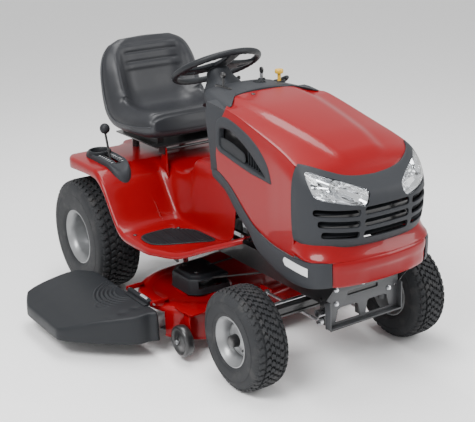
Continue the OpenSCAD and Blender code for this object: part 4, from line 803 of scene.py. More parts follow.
def build_fender():
    """Fender, footrests and tunnel in one skin, its inner walls, ears and screws."""
    ys = [FY + 225 + (-430.5 - FY) * i / 24 for i in range(25)]
    front = [fender_row(y)[13:] for y in ys]
    for row, y in zip(front, ys):
        foot = catmull_value(FOOT_LINE, y)
        row.insert(0, Vector((-152, y, foot)))
    s = Shape()
    s.grid(front, mirror=True)
    ys = [-205 + i * 7 for i in range(138)] + [769]
    s.grid([fender_row(y) for y in ys if y <= 769], mirror=True)
    # front wall of the tunnel and the rear end's turned-down edge
    end = fender_row(769)
    s.grid([end, [Vector((p.x, p.y + 3, p.z - 8)) for p in end],
        [Vector((p.x * 0.99, p.y + 2, p.z - 60)) for p in end]], mirror=True)
    # openings for the shift lever, lift lever, brake arm, steering column, cup and filler neck
    shaft_y = WHEEL_HUB.y - (WHEEL_HUB.z - TUNNEL_Z) * math.tan(COLUMN_LEAN)
    for x0, x1, y0, y1 in ((-339, -321, 402, 538), (328, 352, 258, 436), (246, 278, -238, -106),
            (-24, 24, shaft_y - 27, shaft_y + 27), (-366, -294, RY - 54, RY + 18),
            (114, 186, RY + 64, RY + 136)):
        s.open_up(x0, x1, y0, y1)
    s.make("fender_skin", RED, "chassis", ["fender_body"], thick=2, slot="red_paint", angle=42)
    # inner walls beside the rear wheels, seat hinge ears and the shift lever's ears
    w = Shape()
    wall = [(RY - 398, 372), (RY - 384, 383), (RY - 308, 466), (RY - 254, 542), (RY - 204, 585),
        (RY - 158, 596), (RY + 112, 596), (RY + 155, 573), (RY + 166, 541), (RY + 166, 440),
        (RY - 320, 440), (RY - 396, 360)]
    w.prism([(-237, y, z) for y, z in wall], (0, 0, 0), (3, 0, 0), mirror=True)
    w.box((-237, RY - 402, 352), (-152, RY - 398, 371), mirror=True)
    ear = [(304, 487), (316, 660), (322, 665), (338, 665), (344, 660), (376, 570)]
    w.prism([(140, y, z) for y, z in ear], (0, 0, 0), (6, 0, 0), mirror=True)
    w.make("fender_walls", RED, "chassis", bevel=1.2, slot="red_paint")
    # small dark fasteners on the footrest and the fender
    for name, x, y, z in (("a", -212, -60, 370), ("b", -212, 128, 370), ("c", -398, 160, 371),
            ("d", 212, -60, 370), ("e", 212, 128, 370), ("f", 398, 160, 371)):
        Shape().lathe((x, y, z - 1), (0, 0, 1), [(0, 8), (2.2, 8), (3.6, 6.4), (4.4, 3), (4.5, 0.001)],
            20).make("foot_screw_" + name, BLACK, "chassis", slot="black_steel")


PAD = [(-172, -100), (-240, -76), (-330, -34), (-372, -8), (-398, 22), (-404, 66), (-398, 108), (-376, 136),
    (-340, 146), (-256, 146), (-226, 122), (-174, 62), (-166, -20)]


def build_foot_pads():
    """Rubber foot pads with wavy ribs."""
    loop = even([(x, y, 0) for x, y in PAD], 72, closed=True)
    centre = sum(loop, Vector()) / len(loop)
    s = Shape()
    rows = []
    for f, z in ((1.0, 370.2), (1.0, 372.6), (0.985, 373.6), (0.95, 373.8), (0.94, 372.6)):
        rows.append([(centre.x + (p.x - centre.x) * f, centre.y + (p.y - centre.y) * f, z) for p in loop])
    s.grid(rows, close_v=True, mirror=True)
    s.cap(rows[-1], mirror=True)
    s.make("foot_pads_rubber", DARK, "chassis", ["foot_pads"], slot="belt_rubber", angle=40)
    # raised ribs that run across the machine
    ribs = Shape()
    for i in range(17):
        y = -88 + i * 13.6
        xs = []
        for a, b in zip(loop, loop[1:] + loop[:1]):
            if (a.y - y) * (b.y - y) < 0:
                xs.append(a.x + (b.x - a.x) * (y - a.y) / (b.y - a.y))
        if len(xs) >= 2 and max(xs) - min(xs) > 30:
            x0, x1 = min(xs) + 9, max(xs) - 9
            rows = []
            for j in range(25):
                x = x0 + (x1 - x0) * j / 24
                w = 3.4 * min(1.0, min(j, 24 - j) / 1.5 + 0.15)
                wave = 1.6 * math.sin(x / 9)
                rows.append([(x, y - w + wave, 372.4), (x, y - w * 0.6 + wave, 375.4),
                    (x, y + w * 0.6 + wave, 375.4), (x, y + w + wave, 372.4)])
            ribs.grid(rows, close_v=True, mirror=True)
    ribs.make("foot_pad_ribs", DARK, "chassis", slot="belt_rubber", angle=30)


# ---------- dash ----------
def build_dash():
    """Dash housing, the collar behind the hood, the column sleeve and the bezels."""
    levels = []
    # height, rear edge, side half width at the front, corner pull
    table = [(656, 62, 150, 0.72), (700, 92, 178, 0.76), (760, 102, 202, 0.8), (840, 106, 216, 0.84),
        (900, 106, 222, 0.9), (936, 106, 221, 0.95), (950, 105, 217, 0.97), (959, 102, 211, 0.98),
        (965, 96, 204, 0.97)]
    for z, rear, half, pull in table:
        side = hood_rear_y(z) + 12
        ring = [(0, -198), (-half * 0.6, -212), (-half + 10, side - 4), (-half, side + 10),
            (-half * 0.985, side + 50), (-half * 0.80 * pull, -64), (-half * 0.58 * pull, 20),
            (-92 * pull, 64), (-66, rear - 14), (-40, rear), (0, rear + 2)]
        levels.append([(x, y, z) for x, y in ring])
    rows = net(levels, 34, 60)
    # the upper rim arches with the hood
    for row in rows:
        for p in row:
            p.z += (15 - 27 * (p.x / DASH_ARCH_HALF) ** 2 - 48 * smooth(-50, 70, p.y)) * smooth(860, 965,
                p.z)
    s = Shape().grid(rows, mirror=True)
    ring = rows[-1]
    top = [ring]
    for f, up in ((0.97, 3), (0.92, 4.5), (0.8, 5.5), (0.6, 6), (0.35, 6), (0.12, 6), (0, 6)):
        row = []
        for p in ring:
            x = p.x * f
            row.append(Vector((x, -60 + (p.y + 60) * f, p.z + 27 * ((p.x / DASH_ARCH_HALF) ** 2
                - (x / DASH_ARCH_HALF) ** 2) + up)))
        top.append(row)
    s.grid(top, mirror=True)
    s.make("dash_housing", GREY, "chassis", ["dash_tower"], slot="gray_plastic", angle=48)
    # collar that carries the hood's section back to the dash
    rows = []
    for i in range(10):
        f = i / 9
        row = []
        for j in range(23):
            g = j / 22
            y0 = HOOD_REAR - 96 * g ** 3 - 8
            y = y0 + (-172 - y0) * f
            x = catmull_value(CREASE_X, max(y, -300)) * g
            row.append(Vector((-x, y, hood_top(x, min(y, -205)) - 3 - 3 * (1 - f))))
        crease = row[-1]
        for j in range(1, 23):
            h = j / 22
            z = crease.z + (690 - crease.z) * h
            y0 = hood_rear_y(z) - 10
            y = y0 + (-165 - y0) * f
            row.append(Vector((-(side_x(min(y, -205), z) - 3 - 2 * (1 - f) - 14 * f * smooth(0.1, 0.9, h)),
                y, z)))
        rows.append(row)
    Shape().grid(rows, mirror=True).make("dash_collar", GREY, "chassis", thick=3, slot="gray_plastic",
        angle=40)
    # steering column sleeve with a bead at its top
    base = WHEEL_HUB - COLUMN_AXIS * 118
    Shape().lathe(base, COLUMN_AXIS, [(-20, 98), (20, 84), (44, 72), (62, 60), (80, 52), (94, 48.5),
        (99, 47.5), (103, 45), (104, 40), (104, 20)], 64).make("column_sleeve", GREY, "chassis",
        slot="gray_plastic", angle=40)
    # small round gauge and knob bezels on the top panel
    for name, x, y, r in (("hours", 55, -110, 24), ("key", 100, -60, 15), ("clutch", 150, -110, 24)):
        z = 984 - 27 * (x / DASH_ARCH_HALF) ** 2
        Shape().lathe((x, y, z), (0, 0.02, 1), [(0, r), (5, r), (6.5, r - 1.5), (6, r - 4), (3.5, r - 5),
            (3.2, 8.5), (1, 8.5)], 40).make("bezel_" + name, DARK, "chassis", slot="dark_plastic", angle=40)
    s = Shape()
    s.prism([(-94, -144, 0), (-106, -144, 0), (-106, -36, 0), (-94, -36, 0)], (0, 0, 972), (0, 0, 984.5))
    s.make("throttle_gate", BLACK, "chassis", slot="dark_plastic", bevel=1)


# ---------- right console and lift quadrant ----------
CONSOLE = [(-330, 344), (-352, 352), (-372, 384), (-378, 450), (-378, 560), (-376, 612), (-362, 640),
    (-330, 652), (-298, 640), (-284, 612), (-282, 540), (-284, 440), (-290, 380), (-308, 352)]


def build_consoles():
    """Shift console with its cup holder, gate and ticks, and the lift quadrant."""
    loop = even([(x, y, 0) for x, y in CONSOLE], 84, closed=True)
    centre = Vector((-330, 498, 0))

    def height(y):
        return catmull_value(FOOT_LINE, y)

    s = Shape()
    rows = []
    for f, up in ((1.03, -3), (1.03, 4), (1.01, 14), (0.98, 20), (0.93, 22.5), (0.88, 21), (0.84, 18.5)):
        rows.append([(centre.x + (p.x - centre.x) * f, centre.y + (p.y - centre.y) * f,
            height(centre.y + (p.y - centre.y) * f) + up) for p in loop])
    # the face runs inwards in steps so that it follows the fender's bend
    for f in (0.7, 0.55, 0.4, 0.25, 0.1):
        rows.append([(centre.x + (p.x - centre.x) * f, centre.y + (p.y - centre.y) * (0.84
            + (f - 0.84) * 0.55), height(centre.y + (p.y - centre.y) * (0.84 + (f - 0.84) * 0.55)) + 18)
            for p in loop])
    s.grid(rows, close_v=True)
    s.cap(rows[-1])
    holes = Shape()
    holes.prism([(-338, 406, 400), (-322, 406, 400), (-322, 536, 400), (-338, 536, 400)], (0, 0, 0),
        (0, 0, 300))
    cup = [(-330 + 38 * math.cos(math.radians(a)), RY - 18 + 38 * math.sin(math.radians(a)), 560)
        for a in range(0, 360, 10)]
    holes.prism(cup, (0, 0, 0), (0, 0, 120))
    s.make("shift_console", GREY, "chassis", ["fender_consoles"], thick=3, slot="gray_plastic",
        cut=holes.cutter(), angle=40)
    # cup: a rounded rim and a well
    Shape().lathe((-330, RY - 18, 566), (0, 0, 1), [(3, 0.001), (3, 34), (6, 37.6), (50, 38.5), (64, 39.5),
        (68, 42), (69, 46), (67, 49.5), (62, 51), (52, 51)], 64).make("cup_holder_rim", DARK, "chassis",
        slot="dark_plastic", angle=40)
    # gate of the shift lever: a dark plate with notches, and pale position ticks
    gate = Shape()
    gate.prism([(x, y, height(y) + 20.2) for x, y in ((-342, 404), (-318, 404), (-318, 538), (-342, 538))],
        (0, 0, -1), (0, 0, 0.8))
    hole = Shape().prism([(-338, 408, 400), (-322, 408, 400), (-322, 534, 400), (-338, 534, 400)],
        (0, 0, 0), (0, 0, 300))
    gate.make("shift_gate", BLACK, "chassis", slot="black_steel", cut=hole.cutter())
    ticks = Shape()
    for i in range(7):
        y = 414 + i * 19
        for x0, x1 in ((-360, -350), (-310, -302 + (i % 3) * 3)):
            z = height(y) + 18.6
            ticks.prism([(x0, y - 1.6, z), (x1, y - 1.6, z), (x1, y + 1.6, z), (x0, y + 1.6, z)], (0, 0, 0),
                (0, 0, 0.9))
    ticks.make("shift_ticks", LABEL, "chassis", slot="silver_steel")
    # quadrant plate of the lift lever on the left fender
    s = Shape()
    rows = []
    for i in range(25):
        y = 262 + i * 11.6
        z = height(y)
        w = 34 * min(1.0, 0.5 + min(i, 24 - i) / 4)
        rows.append([(340 - w, y, z + 0.5), (340 - w, y, z + 16), (340 - w + 6, y, z + 22),
            (340 - w * 0.4, y, z + 24), (340 + w * 0.4, y, z + 24), (340 + w - 6, y, z + 22),
            (340 + w, y, z + 16), (340 + w, y, z + 0.5)])
    s.grid(rows)
    s.cap(rows[0][::-1])
    s.cap(rows[-1])
    hole = Shape().prism([(328, 262, 380), (352, 262, 380), (352, 434, 380), (328, 434, 380)], (0, 0, 0),
        (0, 0, 320))
    s.make("lift_quadrant", GREY, "chassis", slot="gray_plastic", cut=hole.cutter(), angle=40, thick=3)


# ---------- seat ----------
SEAT_PATH = [  # middle line (y, z), half width, thickness, bolster rise, hollow
    (303, 766, 196, 56, 0, 0),
    (318, 762, 214, 96, 2, 0),
    (350, 757, 228, 112, 6, 2),
    (410, 752, 240, 104, 14, 5),
    (480, 748, 245, 96, 22, 8),
    (550, 747, 246, 98, 32, 11),
    (606, 757, 245, 112, 40, 15),
    (648, 786, 243, 124, 44, 18),
    (674, 832, 240, 116, 42, 18),
    (688, 886, 238, 100, 38, 16),
    (699, 940, 234, 88, 32, 13),
    (708, 984, 224, 76, 24, 10),
    (715, 1022, 206, 68, 14, 6),
    (722, 1052, 176, 56, 6, 2),
    (727, 1074, 128, 36, 0, 0),
]


def seat_rows(nu, nv):
    """Rings of points round the seat, from the front roll to the top of the back."""
    path = [Vector((p[0], p[1], 0)) for p in SEAT_PATH]
    line = catmull(path, nu)
    sizes = catmull([Vector(p[2:5]) for p in SEAT_PATH], nu)
    hollow = catmull([Vector((p[5], 0, 0)) for p in SEAT_PATH], nu)
    rows = []
    for i, c in enumerate(line):
        ahead = (line[min(i + 1, nu - 1)] - line[max(i - 1, 0)]).normalized()
        normal = Vector((-ahead.y, ahead.x))
        if normal.y < 0 and i < nu / 3:
            normal = -normal
        if i > nu / 2 and normal.x > 0:
            normal = -normal
        half, thick, bolster = sizes[i]
        row = []
        for k in range(nv):
            a = 2 * math.pi * k / nv
            ca, sa = math.cos(a), math.sin(a)
            x = half * math.copysign(abs(ca) ** 0.42, ca)
            b = thick / 2 * math.copysign(abs(sa) ** 0.62, sa)
            g = abs(x) / half
            if sa > 0:
                b += bolster * math.exp(-((g - 0.80) / 0.15) ** 2) * smooth(0, 0.35, sa)
                b -= hollow[i].x * (1 - smooth(0.35, 0.72, g))
            row.append(Vector((x, c.x + normal.x * b, c.y + normal.y * b)))
        rows.append(row)
    return rows


def build_seat():
    """Seat cushion with sewn channels, its welts and its moulded shell."""
    nu, nv = 110, 120
    rows = seat_rows(nu, nv)
    # sewn channels: two across the upper back, one along the bolsters and one across the seat's front roll
    for i in range(nu):
        f = i / (nu - 1)
        for k in range(nv):
            p = rows[i][k]
            a = 2 * math.pi * k / nv
            if math.sin(a) <= 0.02:
                continue
            g = abs(p.x)
            dip = 0.0
            if 890 < p.z:
                panel = smooth(150, 128, g) * smooth(938, 950, p.z) * (1 - smooth(1040, 1052, p.z))
                dip -= 5.0 * panel
                for at in (974, 1016):
                    dip += 5.5 * math.exp(-((p.z - at) / 5.0) ** 2) * smooth(140, 116, g)
            edge = abs(g - 178 + 12 * f)
            dip += 3.0 * math.exp(-(edge / 4.5) ** 2) * smooth(0.16, 0.26, f) * (1 - smooth(0.80, 0.90, f))
            dip += 3.0 * math.exp(-((f - 0.115) / 0.008) ** 2) * smooth(205, 180, g)
            wrinkle = 0.7 * math.sin(p.x / 17 + p.z / 29) * math.sin(p.y / 23 - p.x / 41)
            c = sum((rows[i][m] for m in range(0, nv, 12)), Vector()) / (nv // 12)
            d = (p - c)
            d.x = 0
            if d.length > 1:
                p -= d.normalized() * (dip + wrinkle)
    s = Shape().grid(rows, close_v=True)
    for ring, mid in ((rows[0], 1), (rows[-1], -1)):
        c = sum(ring, Vector()) / nv
        inner = [[c + (p - c) * f + Vector((0, -3.0 * (1 - f) if mid == 1 else 0,
            0 if mid == 1 else 6 * (1 - f))) for p in ring] for f in (1.0, 0.8, 0.55, 0.3, 0.1)]
        s.grid(inner, close_v=True)
        s.cap(inner[-1])
    seat = s.make("seat_vinyl_cushion", VINYL, "seat", ["seat_cushion"], slot="seat_vinyl", angle=180,
        sub=1)
    # welt cord between the cushion and its shell
    welt = Shape()
    for side in (1, -1):
        line = []
        for i in range(6, nu - 10, 2):
            k = 0 if side == 1 else nv // 2
            q = rows[i][k]
            line.append(q + Vector((side * 1.0, 0, 0)))
        welt.tube(line, 3.2, 8)
    welt.make("seat_welts", SHELL, "seat", slot="seat_vinyl", angle=60)
    # moulded shell under and behind the cushion
    shell = []
    for i, row in enumerate(rows):
        if 2 <= i <= nu - 8:
            half = [row[k] for k in range(nv // 2, nv)] + [row[0]]
            c = sum((row[m] for m in range(0, nv, 12)), Vector()) / (nv // 12)
            shell.append([p + (p - c).normalized() * 3.0 for p in half])
    shell = [[Vector((p.x, min(p.y, 763), max(p.z, 697))) for p in r] for r in shell]
    Shape().grid(shell).make("seat_shell", SHELL, "seat", thick=3, slot="dark_plastic", angle=60)


# ---------- steering wheel ----------
def build_steering_wheel():
    """Steering wheel with three spokes, and its hub cap."""
    turn = Matrix.Rotation(-COLUMN_LEAN, 3, "X")

    def at(x, y, z):
        return WHEEL_HUB + turn @ Vector((x, y, z))

    ring = Shape()
    rows = []
    for k in range(120):
        a = 2 * math.pi * k / 120
        row = []
        for m in range(20):
            b = 2 * math.pi * m / 20
            # finger grips on the underside
            r = 13.4 - (0.7 * (1 + math.cos(a * 40)) if math.sin(b) < -0.2 else 0)
            rr = 176 + r * math.cos(b)
            row.append(at(rr * math.cos(a), rr * math.sin(a), r * math.sin(b)))
        rows.append(row)
    ring.grid(rows, close_u=True, close_v=True)
    for side in (1, -1):
        nets = []
        for x, half, z, t in ((10, 44, 2, 8), (50, 44, 0, 8), (90, 40, -3, 7), (128, 34, -3, 6.5),
                (168, 30, 0, 6)):
            nets.append([(x, -half, z), (x, -half * 0.9, z + t), (x, 0, z + t + 2), (x, half * 0.9, z + t),
                (x, half, z), (x, half * 0.85, z - t), (x, 0, z - t - 1), (x, -half * 0.85, z - t)])
        dense = net(nets, 22, 36, closed_v=True)
        rows = [[at(p[0] * side, p[1], p[2]) for p in r] for r in dense]
        ring.grid(rows, close_v=True)
    nets = []
    for y, half, z, t in ((-10, 36, 1, 8), (-50, 34, -1, 8), (-90, 30, -3, 7), (-128, 28, -3, 6),
            (-168, 30, 0, 6)):
        nets.append([(-half, y, z), (-half * 0.9, y, z + t), (0, y, z + t + 1), (half * 0.9, y, z + t),
            (half, y, z), (half * 0.85, y, z - t), (0, y, z - t), (-half * 0.85, y, z - t)])
    ring.grid([[at(*p) for p in r] for r in net(nets, 22, 32, closed_v=True)], close_v=True)
    cut = Shape()
    for side in (1, -1):
        loop = even([(x * side, y, 0) for x, y in ((100, -8), (110, -13), (140, -11), (150, 0), (142, 12),
            (110, 14), (100, 9))], 28, closed=True)
        low, high = at(0, 0, -40) - WHEEL_HUB, at(0, 0, 40) - WHEEL_HUB
        cut.prism([at(p.x, p.y, 0) for p in loop], low, high)
    ring.make("steering_wheel_rim", DARK, "steering", ["steering_wheel"], slot="dark_plastic", angle=60,
        cut=cut.cutter())
    axis = turn @ Vector((0, 0, 1))
    Shape().lathe(at(0, 0, -12), axis, [(0, 10), (0, 38), (3, 41), (12, 43), (19, 41), (23, 36), (25.5, 26),
        (26.5, 12), (26.5, 0.001)], 56).make("steering_hub_cap", GREY, "steering", slot="gray_plastic",
        angle=40)


# ---------- wheels ----------
def add_block(bm, base, top):
    """A raised block between two strips of point pairs."""
    b = [bm.verts.new(p) for p in base]
    t = [bm.verts.new(p) for p in top]
    for i in range(0, len(base) - 2, 2):
        bm.faces.new((t[i], t[i + 1], t[i + 3], t[i + 2]))
        bm.faces.new((b[i], b[i + 2], t[i + 2], t[i]))
        bm.faces.new((b[i + 1], t[i + 1], t[i + 3], b[i + 3]))
        bm.faces.new((b[i], b[i + 1], b[i + 3], b[i + 2]))
    bm.faces.new((b[0], t[0], t[1], b[1]))
    bm.faces.new((b[-2], b[-1], t[-1], t[-2]))


def build_tyre(name, node, body, blocks):
    """A turf tyre: a round carcass with rows of wavy, interlocking tread blocks."""
    lo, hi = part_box(node)
    cx = (lo.x + hi.x) / 2 * 1000 - DX
    cy = (lo.y + hi.y) / 2 * 1000 - DY
    cz = (lo.z + hi.z) / 2 * 1000
    r, w = (hi.z - lo.z) / 2 * 1000, (hi.x - lo.x) * 1000
    rim = 89 if w < 180 else 115
    lug = 7.0 if w < 180 else 8.5
    half = w / 2
    depth = r - lug
    # carcass profile: (offset across, radius)
    wall = [(-half + 20, rim - 3), (-half + 9, rim + 7), (-half + 2.5, rim + 24),
        (-half + 0.2, (r + rim) / 2), (-half + 3, r - 34), (-half + 11, r - 20), (-half + 25, depth - 3.2),
        (-half + 46, depth - 0.6), (0, depth)]
    profile = wall + [(-a, b) for a, b in wall[-2::-1]]
    smooth_profile = [(p.x, p.y) for p in catmull([(a, b, 0) for a, b in profile], 56)]
    inner = [(half - 26, rim + 8), (half - 14, (r + rim) / 2), (half - 34, depth - 14),
        (-half + 34, depth - 14), (-half + 14, (r + rim) / 2), (-half + 26, rim + 8)]
    s = Shape()
    rows = [[Vector((cx + a, cy + q * math.cos(2 * math.pi * k / 120),
        cz + q * math.sin(2 * math.pi * k / 120))) for k in range(120)] for a, q in smooth_profile + inner]
    s.grid(rows, close_u=True, close_v=True)
    s.make(name, TYRE, body, [node], slot="tyre_rubber", angle=60)

    def surface(across):
        a = abs(across)
        return catmull_value([(0, depth), (half - 46, depth - 0.6), (half - 25, depth - 3.2),
            (half - 11, r - 20), (half - 3, r - 34), (half - 0.2, (r + rim) / 2)], a)

    tread = Shape()
    lanes = 6
    span = 2 * (half - 22)
    for lane in range(lanes):
        mid = (lane - (lanes - 1) / 2) * span / lanes
        reach = span / lanes * 0.52
        outer_lane = lane in (0, lanes - 1)
        for k in range(blocks):
            a0 = 2 * math.pi * (k + 0.5 * (lane % 2)) / blocks
            arc = 2 * math.pi / blocks * 0.37
            base, top = [], []
            for level, store in ((0, base), (1, top)):
                for m in range(5):
                    f = m / 4
                    across = mid - reach + 2 * reach * f
                    if outer_lane:
                        across += math.copysign(6, mid)
                    wave = math.sin(f * math.pi * 2 + lane) * arc * 0.42
                    shrink = 0.80 if level else 1.0
                    for e in (-1, 1):
                        ang = a0 + wave + e * arc * shrink
                        x = mid + (across - mid) * (0.9 if level else 1.0) + (math.copysign(1.0, mid)
                            if outer_lane else 0)
                        height = surface(x) + (lug - (1.5 if outer_lane else 0) if level else -3)
                        height = min(height, r)
                        store.append(Vector((cx + x, cy + height * math.cos(ang),
                            cz + height * math.sin(ang))))
            add_block(tread.bm, base, top)
    # shoulder bars that run on down the side wall
    for edge in (-1, 1):
        for k in range(blocks * 2):
            a0 = 2 * math.pi * (k + 0.5) / (blocks * 2)
            arc = 2 * math.pi / blocks * 0.13
            base, top = [], []
            for m in range(4):
                x = edge * (half - 25 + m * 6.0)
                for store, up, sh in ((base, -3, 1.0), (top, 2.6 - m * 0.7, 0.7)):
                    for e in (-1, 1):
                        q = min(surface(x) + up, r)
                        ang = a0 + e * arc * sh
                        store.append(Vector((cx + x, cy + q * math.cos(ang), cz + q * math.sin(ang))))
            add_block(tread.bm, base, top)
    tread.make(name + "_tread", TYRE, body, slot="tyre_rubber", angle=30, weld=False, bevel=0.9)
    ribs = Shape()
    for edge in (-1, 1):
        for q in (rim + 14, rim + 20, (r + rim) / 2 + 8):
            off = half - 0.4 if q > rim + 30 else half - 6.5 if q < rim + 17 else half - 3.6
            ribs.tube([(cx + edge * off, cy + q * math.cos(2 * math.pi * k / 96),
                cz + q * math.sin(2 * math.pi * k / 96)) for k in range(96)], 0.9, 6, closed=True)
    ribs.make(name + "_rings", TYRE, body, slot="tyre_rubber", angle=60)


def build_rim(name, node, tyre_node, body, side, rear):
    """A pressed wheel disc with its hub parts and tyre valve."""
    lo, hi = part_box(tyre_node)
    cx = (lo.x + hi.x) / 2 * 1000 - DX
    cy = (lo.y + hi.y) / 2 * 1000 - DY
    cz = (lo.z + hi.z) / 2 * 1000
    w = (hi.x - lo.x) * 1000
    r = 115 if rear else 89
    h = w / 2 - 18
    dish = 12 if rear else 26
    hub = 30 if rear else 24
    outer = [(h + 10, r + 2), (h + 9, r + 6), (h + 5, r + 5), (h, r - 3), (h - 12, r - 15),
        (h - 26, r - 18), (h - 40, r - 18), (-h + 40, r - 18), (-h + 26, r - 18), (-h + 12, r - 15),
        (-h, r - 3), (-h - 5, r + 5), (-h - 9, r + 6), (-h - 10, r + 2), (-h - 6, r - 1.5),
        (-h - 1, r - 6.5), (-h + 12, r - 18.5), (-h + 26, r - 21.5), (dish - 26, r - 21.5),
        (dish - 14, r - 24), (dish - 6, r - 30), (dish - 3, r - 38), (dish - 4, hub + 16),
        (dish + 2, hub + 4), (dish + 8, hub - 2), (dish + 9, 13), (dish + 12, 13), (dish + 12, hub - 1),
        (dish + 10, hub + 2), (dish + 5, hub + 8), (dish, hub + 18), (dish + 1, r - 38), (dish - 1, r - 27),
        (dish - 6, r - 22.5), (h - 26, r - 21.5), (h - 12, r - 18.5), (h + 1, r - 6.5), (h + 6, r - 1.5)]
    s = Shape()
    steps = 96
    rows = [[Vector((cx + side * a, cy + q * math.cos(2 * math.pi * k / steps),
        cz + q * math.sin(2 * math.pi * k / steps))) for k in range(steps)] for a, q in outer]
    s.grid(rows, close_u=True, close_v=True)
    cut = Shape()
    size = 8.5
    a = math.radians(135 if rear else 110)
    q = r - 46 if rear else r - 40
    hy, hz = cy + q * math.cos(a), cz + q * math.sin(a)
    cut.prism([(cx + side * (dish - 12), hy + size * math.cos(2 * math.pi * m / 20),
        hz + size * math.sin(2 * math.pi * m / 20)) for m in range(20)], (0, 0, 0), (side * 24, 0, 0))
    s.make(name, RIM, body, [node], slot="rim_paint", angle=40, cut=cut.cutter())
    axis = (side, 0, 0)
    if rear:
        Shape().lathe((cx + side * (dish + 2), cy, cz), axis, [(-150, 12.6), (8, 12.6), (8, 26), (10, 27),
            (12, 26), (12.5, 13), (24, 12.4), (26, 10), (26, 0.001)], 48).make(name + "_axle", STEEL, body,
            slot="silver_steel", angle=40)
        nuts = Shape()
        for k in range(5):
            a = 2 * math.pi * k / 5 + 0.3
            y, z = cy + 44 * math.cos(a), cz + 44 * math.sin(a)
            nuts.lathe((cx + side * (dish - 1), y, z), axis, [(0, 10.5), (3, 10.5), (4, 8.8), (11, 8.2),
                (12.5, 6.6), (12.8, 0.001)], 6)
        nuts.make(name + "_nuts", STEEL, body, slot="silver_steel", angle=20)
    else:
        Shape().lathe((cx + side * (dish + 2), cy, cz), axis, [(4, 13), (7, 21), (9, 23.5), (13, 24),
            (30, 22.5), (36, 20.5), (38.5, 16), (39, 10), (39, 0.001)], 56).make(name + "_cap", BLACK, body,
            slot="dark_plastic", angle=40)
    # tyre valve
    a = math.radians(200)
    q = r - 32
    Shape().lathe((cx + side * (dish + 1), cy + q * math.cos(a), cz + q * math.sin(a)), axis,
        [(-4, 6), (2, 6), (4, 4.2), (14, 3.8), (15, 4.6), (23, 4.6), (24, 3.6), (24, 0.001)],
        20).make(name + "_valve", BELT, body, slot="belt_rubber", angle=40)


def build_wheels():
    """All four wheels."""
    for name, node, side, rear in (("front_left", "tyre_front_left", 1, False),
            ("front_right", "tyre_front_right", -1, False), ("rear_left", "tyre_rear_left", 1, True),
            ("rear_right", "tyre_rear_right", -1, True)):
        body = "wheel_" + name
        build_tyre("turf_tyre_" + name, node, body, 50 if rear else 42)
        build_rim("wheel_disc_" + name, node.replace("tyre", "rim"), node, body, side, rear)


# ---------- mower deck ----------
DECK_SHIFT, MANDREL_GAP, BLADE_LEN = 33, 500, 496
DECK_R = BLADE_LEN / 2 + 22
RIGHT_MANDREL = Vector((DECK_SHIFT - MANDREL_GAP / 2, -60, 0))
LEFT_MANDREL = Vector((DECK_SHIFT + MANDREL_GAP / 2, -20, 0))


def deck_outline(n):
    """The deck's plan: two blade circles and their tangents."""
    pts = []
    d = (LEFT_MANDREL - RIGHT_MANDREL).normalized()
    normal = Vector((-d.y, d.x, 0))
    start = math.atan2(normal.y, normal.x)
    for k in range(n // 2):
        a = start + math.pi * k / (n // 2 - 1)
        pts.append(RIGHT_MANDREL + DECK_R * Vector((math.cos(a), math.sin(a), 0)))
    for k in range(n // 2):
        a = start + math.pi + math.pi * k / (n // 2 - 1)
        pts.append(LEFT_MANDREL + DECK_R * Vector((math.cos(a), math.sin(a), 0)))
    ends = [pts[n // 2 - 1], pts[n // 2], pts[-1], pts[0]]
    front = [ends[0].lerp(ends[1], k / 50) for k in range(1, 50)]
    rear = [ends[2].lerp(ends[3], k / 50) for k in range(1, 50)]
    return even(pts[: n // 2] + front + pts[n // 2:] + rear, n, closed=True)


def inset(loop, d):
    """The plan outline moved inwards by d."""
    n = len(loop)
    area = sum(a.x * b.y - b.x * a.y for a, b in zip(loop, loop[1:] + loop[:1]))
    turn = 1 if area > 0 else -1
    out = []
    for i, p in enumerate(loop):
        t = (loop[(i + 1) % n] - loop[i - 1]).normalized()
        out.append(p + Vector((-t.y, t.x, 0)) * d * turn)
    return out


